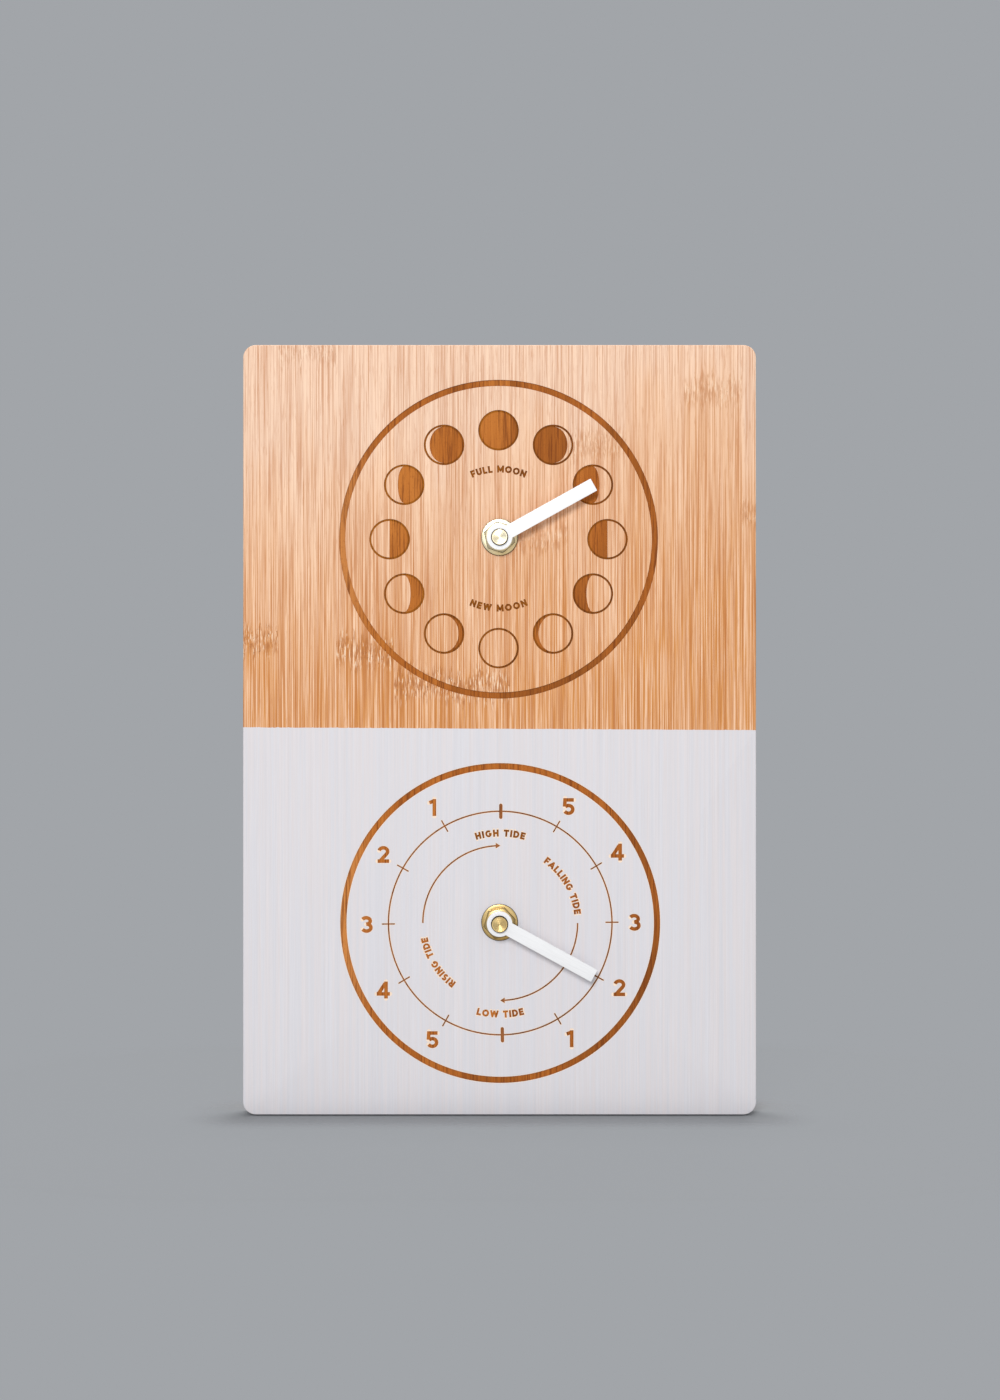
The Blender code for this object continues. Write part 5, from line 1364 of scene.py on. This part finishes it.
def rear_face(name):
    """Outlines, as (x, z) points, of a node's flat rear face, with the corners and faces of the rest of it."""
    node = frame["nodes"][name]
    work = bmesh.new()
    work.from_mesh(node.data)
    work.transform(node.matrix_world)
    bmesh.ops.remove_doubles(work, verts=work.verts, dist=MERGE_DISTANCE)
    rear = max(vertex.co.y for vertex in work.verts)
    # A list keeps the mesh's order, so the outlines start at the same corners in every run
    flat = [face for face in work.faces if all(rear - vertex.co.y < MERGE_DISTANCE for vertex in face.verts)]
    inner = set(flat)
    follow = {}
    for face in flat:
        for loop in face.loops:
            if not any(other in inner for other in loop.edge.link_faces if other is not face):
                follow[loop.vert] = loop.link_loop_next.vert
    loops = []
    while follow:
        vertex = next(iter(follow))
        outline = []
        while vertex in follow:
            outline.append((vertex.co.x, vertex.co.z))
            vertex = follow.pop(vertex)
        loops.append(np.array(outline))
    work.verts.index_update()
    points = [tuple(vertex.co) for vertex in work.verts]
    faces = [tuple(vertex.index for vertex in face.verts) for face in work.faces if face not in inner]
    work.free()
    return loops, points, faces, -rear


def engraved(name, marks, depth, material):
    """A copy of a node with marks cut into its flat rear face."""
    loops, points, faces, rear = rear_face(name)
    shell = Shell()
    shell.add(points, faces)
    face = Face(loops + all_loops(marks), OPEN)
    face.set_depth([loops], 0.0)
    face.set_depth(marks, depth)
    add_face(shell, face, rear, floor_finish=0, inward=1.0)
    return shell.build(f"{name}_marked", [material], outward=True)


def turning_arrow(centre, radius, start, end, half):
    """Line bent round a centre with an arrowhead at each end; degrees, anticlockwise from the right."""
    shapes = [stroke(arc_points(centre, (radius, radius), start, end, 41), half)]
    for angle, way in ((math.radians(start), -1), (math.radians(end), 1)):
        out = np.array((math.cos(angle), math.sin(angle)))
        ahead = way * np.array((-out[1], out[0]))
        foot = np.array(centre) + out * radius
        shapes.append([np.array((foot + ahead * half * 6, foot + out * half * 3, foot - out * half * 3))])
    return shapes


def plate_shape(x, z, half_width, half_height):
    return [np.array([(x + a * half_width, z + b * half_height) for a, b in ((-1, -1), (1, -1), (1, 1), (-1, 1))])]


def case_marks(dial):
    """Marks moulded in the case: plus and minus over the cell's ends and a turning arrow over the knob."""
    low, high = box_corners(f"{dial}_battery")
    knob = node_centre(f"{dial}_setting_knob")
    plus, minus, height = high.x - 1.9 * MM, low.x + 1.9 * MM, high.z + 2.9 * MM
    return [plate_shape(plus, height, SIGN_ARM, SIGN_HALF), plate_shape(plus, height, SIGN_HALF, SIGN_ARM),
            plate_shape(minus, height, SIGN_ARM, SIGN_HALF),
            *turning_arrow((knob.x, knob.z), 7.9 * MM, 38, 142, 0.25 * MM)]


def knob_marks(dial):
    """A ring cut round the knob's face and a double arrow across it."""
    knob = node_centre(f"{dial}_setting_knob")
    centre = (knob.x, knob.z)
    shapes = [[circle_points(radius, 48, centre) for radius in (4.0 * MM, 3.65 * MM)]]
    for start in (40, 220):
        shapes += turning_arrow(centre, 2.4 * MM, start, start + 100, 0.22 * MM)
    return shapes


def make_screw(name, nickel, group):
    """Pan-head screw with a cross recess and a coarse thread."""
    axis = node_centre(name)
    _, radii, depths = about_axis(name, axis)
    shank, head, back, front = reach_of(radii, depths)
    seat = depths[radii > head * 0.99].max()
    centre = (axis.x, axis.z)
    arm, half = SIGN_ARM, SIGN_HALF
    cross = centre + np.array([(arm, -half), (arm, half), (half, half), (half, arm), (-half, arm), (-half, half),
                               (-arm, half), (-arm, -half), (-half, -half), (-half, -arm), (half, -arm),
                               (half, -half)])
    rim = head - 0.35 * MM
    shell = Shell()
    face = nested_face((circle_points(rim, 48, centre), 0.0), (cross, SCREW_RECESS))
    add_face(shell, face, back, floor_finish=0, inward=1.0)
    core = shank * 0.74
    revolve(shell, axis, [(rim, back), (head - 0.1 * MM, back + 0.12 * MM), (head, back + 0.35 * MM), (head, seat),
                          (core, seat), (core, front - 1.3 * MM), (0.0, front)], 48)
    piece = shell.build(f"{name}_crossed", [nickel], outward=True)
    return add_thread(piece, group, nickel, axis, seat + 0.7 * MM, front - seat - 2.2 * MM, core, shank - core,
                      SCREW_TURNS)


def along_x(name):
    """Start, length and radius of a round node along X, and its corners' distances along its axis and from it."""
    low, high = box_corners(name)
    middle = (low + high) / 2
    points = node_points(name)
    radii = np.hypot(points[:, 1] - middle.y, points[:, 2] - middle.z)
    return Vector((low.x, middle.y, middle.z)), high.x - low.x, (high.z - low.z) / 2, points[:, 0] - low.x, radii


def make_winding(name, copper, group, count):
    """Coil of enamelled wire, laid turn beside turn over the windings below."""
    start, reach, outer, _, radii = along_x(name)
    bore = radii.min()
    wire = reach / count / 2
    body = outer - 1.4 * wire
    profile = [(bore, 0.0), (body, 0.0), (body, reach), (bore, reach), (bore, 0.0)]
    piece = turned(f"{name}_wound", [copper], start, profile, 48, lying=True)
    return wind(piece, group, turns=float(count) - 1.0, radius=outer - wire, length=reach - 2 * wire,
                wire_radius=wire * 0.98, wire_sides=6, place=(start.x + wire, start.y, start.z),
                turn=(0.0, math.radians(90), 0.0), material=copper)


def make_cell(name, sleeve, nickel):
    """Dry cell: printed sleeve turned over both ends, dished minus end, plus end with its nub."""
    start, reach, radius, along, radii = along_x(name)
    nub = radii[along > reach - 0.1 * MM].max()
    shoulder = along[radii > radius * 0.9].max()
    fine = 0.1 * MM
    profile = [(0.0, 4 * fine), (3.3 * MM, 4 * fine), (3.8 * MM, 0.0), (5.5 * MM, 0.0), (5.8 * MM, 4 * fine),
               (6.2 * MM, 4 * fine), (6.3 * MM, fine), (radius - 3 * fine, fine), (radius, 5 * fine),
               (radius, shoulder - 5 * fine), (radius - 3 * fine, shoulder - fine), (6.3 * MM, shoulder),
               (6.1 * MM, shoulder - 4 * fine), (3.7 * MM, shoulder - 4 * fine), (3.4 * MM, shoulder - fine),
               (nub, shoulder - fine), (nub, reach - 2 * fine), (nub - 2 * fine, reach), (0.0, reach)]
    finishes = [1] * 6 + [0] * 6 + [1] * 6
    return turned(f"{name}_cell", [sleeve, nickel], start, profile, 80, finishes, lying=True)


# Operators: one for the stage and one for each group of like pieces

class CLOCK_OT_stage(bpy.types.Operator):
    """Makes the camera, the background, the floor and the lamps"""

    bl_idname = "clock.stage"
    bl_label = "Stage"

    def execute(self, context):
        look = context.scene.clock_stage
        context.scene.view_settings.view_transform = "Standard"
        for make in (make_camera, make_world, make_floor, make_lamps):
            make(look)
        return {"FINISHED"}


class CLOCK_OT_board(bpy.types.Operator):
    """Makes the bamboo board, the burnt marks and the white coat"""

    bl_idname = "clock.board"
    bl_label = "Board, marks and paint"

    def execute(self, context):
        look = context.scene.clock_board
        burnt = burnt_finish("engraved_bamboo", look.burnt)
        charred = burnt_finish("charred_bamboo", look.charred)
        seared = burnt_finish("seared_bamboo", look.seared)
        board, face, front = make_board(look, bamboo_finish(look), charred)
        settle(board, ROOT_BODY, "bamboo", "board")
        settle(make_scorch(look, face, front, [burnt, charred, seared]), ROOT_BODY, "engraved_bamboo")
        settle(make_coat(look, paint_finish(look)), ROOT_BODY, "white_paint")
        return {"FINISHED"}


class CLOCK_OT_hubs(bpy.types.Operator):
    """Makes the hands, caps, nuts, washers and threaded bushings"""

    bl_idname = "clock.hubs"
    bl_label = "Hands and hubs"

    def execute(self, context):
        look = context.scene.clock_hubs
        # Dark metal painted as shade in steps, seats and rims of the hubs.
        painted_shade = metal_finish("painted_shade", look.painted_shade, 0.42, 500.0, 5, 0.3)
        group = helix_group()
        for dial, plating in zip(DIALS, (look.moon_brass, look.tide_brass)):
            axis = AXES[dial]
            # Both brass finishes paint shade over the lower right of the hub; the caps' finish takes less of it.
            brass = brass_finish(f"{dial}_brass", plating, axis, HUB_LOWER_SHADE)
            bright = brass_finish(f"{dial}_cap_brass", plating, axis, CAP_LOWER_SHADE[dial])
            white = hand_finish(f"{dial}_hand_white", tint(look.hand, HAND_GLARE_GAIN[dial]), HAND_DEGREES[dial])
            for part, make, slot, *materials in (
                    ("washer", make_washer, "brass", brass, painted_shade), ("nut", make_nut, "brass", brass, painted_shade),
                    ("cap", make_cap, "brass", bright, painted_shade),
                    ("bushing", make_bushing, "brass", brass, group, look.thread_turns),
                    ("hand", make_hand, "hand_metal", white, painted_shade)):
                name = f"{dial}_{part}"
                stand_for(make(name, axis, *materials), slot, name)
        return {"FINISHED"}


class CLOCK_OT_movements(bpy.types.Operator):
    """Finishes every piece of the two movements"""

    bl_idname = "clock.movements"
    bl_label = "Movements"

    def execute(self, context):
        look = context.scene.clock_movement
        finishes = movement_finishes(look)
        case_plastic, knob_plastic, nickel = (finishes[name] for name in ("case_plastic", "knob_plastic", "nickel"))
        group = helix_group()
        for dial in DIALS:
            for finish, parts in DRESSED.items():
                for part in parts:
                    for slot in frame["nodes"][f"{dial}_{part}"].material_slots:
                        slot.material = finishes[finish]
            case, screw, knob, coil, cell = (f"{dial}_{part}" for part in (
                "case_back", "case_screw", "setting_knob", "coil_winding", "battery"))
            stand_for(engraved(case, case_marks(dial), CASE_MARK_DEPTH, case_plastic), "case_plastic", case)
            stand_for(make_screw(screw, nickel, group), "nickel", screw)
            stand_for(engraved(knob, knob_marks(dial), KNOB_MARK_DEPTH, knob_plastic), "knob_plastic", knob)
            stand_for(make_winding(coil, finishes["copper_wire"], group, look.coil_turns), "copper_wire", coil)
            sleeve = cell_finish(f"{dial}_cell_sleeve", node_centre(cell))
            stand_for(make_cell(cell, sleeve, nickel), "cell_sleeve", cell)
        return {"FINISHED"}


STEPS = (
    ("clock_stage", StageLook, CLOCK_OT_stage),
    ("clock_board", BoardLook, CLOCK_OT_board),
    ("clock_hubs", HubLook, CLOCK_OT_hubs),
    ("clock_movement", MovementLook, CLOCK_OT_movements),
)


class CLOCK_PT_looks(bpy.types.Panel):
    """Lists the steps and their settings"""

    bl_label = "Tide clock"
    bl_space_type = "VIEW_3D"
    bl_region_type = "UI"
    bl_category = "Tide clock"

    def draw(self, context):
        for settings, group, step in STEPS:
            box = self.layout.box()
            box.operator(step.bl_idname)
            for setting in group.__annotations__:
                box.prop(getattr(context.scene, settings), setting)


CLASSES = (*(group for _, group, _ in STEPS), *(step for _, _, step in STEPS), CLOCK_PT_looks)


def register():
    for kind in CLASSES:
        bpy.utils.register_class(kind)
    for settings, group, _ in STEPS:
        setattr(bpy.types.Scene, settings, PointerProperty(type=group))


def unregister():
    for settings, _, _ in STEPS:
        delattr(bpy.types.Scene, settings)
    for kind in reversed(CLASSES):
        bpy.utils.unregister_class(kind)


def main():
    register()
    bpy.ops.clock.stage()
    bpy.ops.clock.board()
    bpy.ops.clock.hubs()
    bpy.ops.clock.movements()


if __name__ == "__main__":
    main()
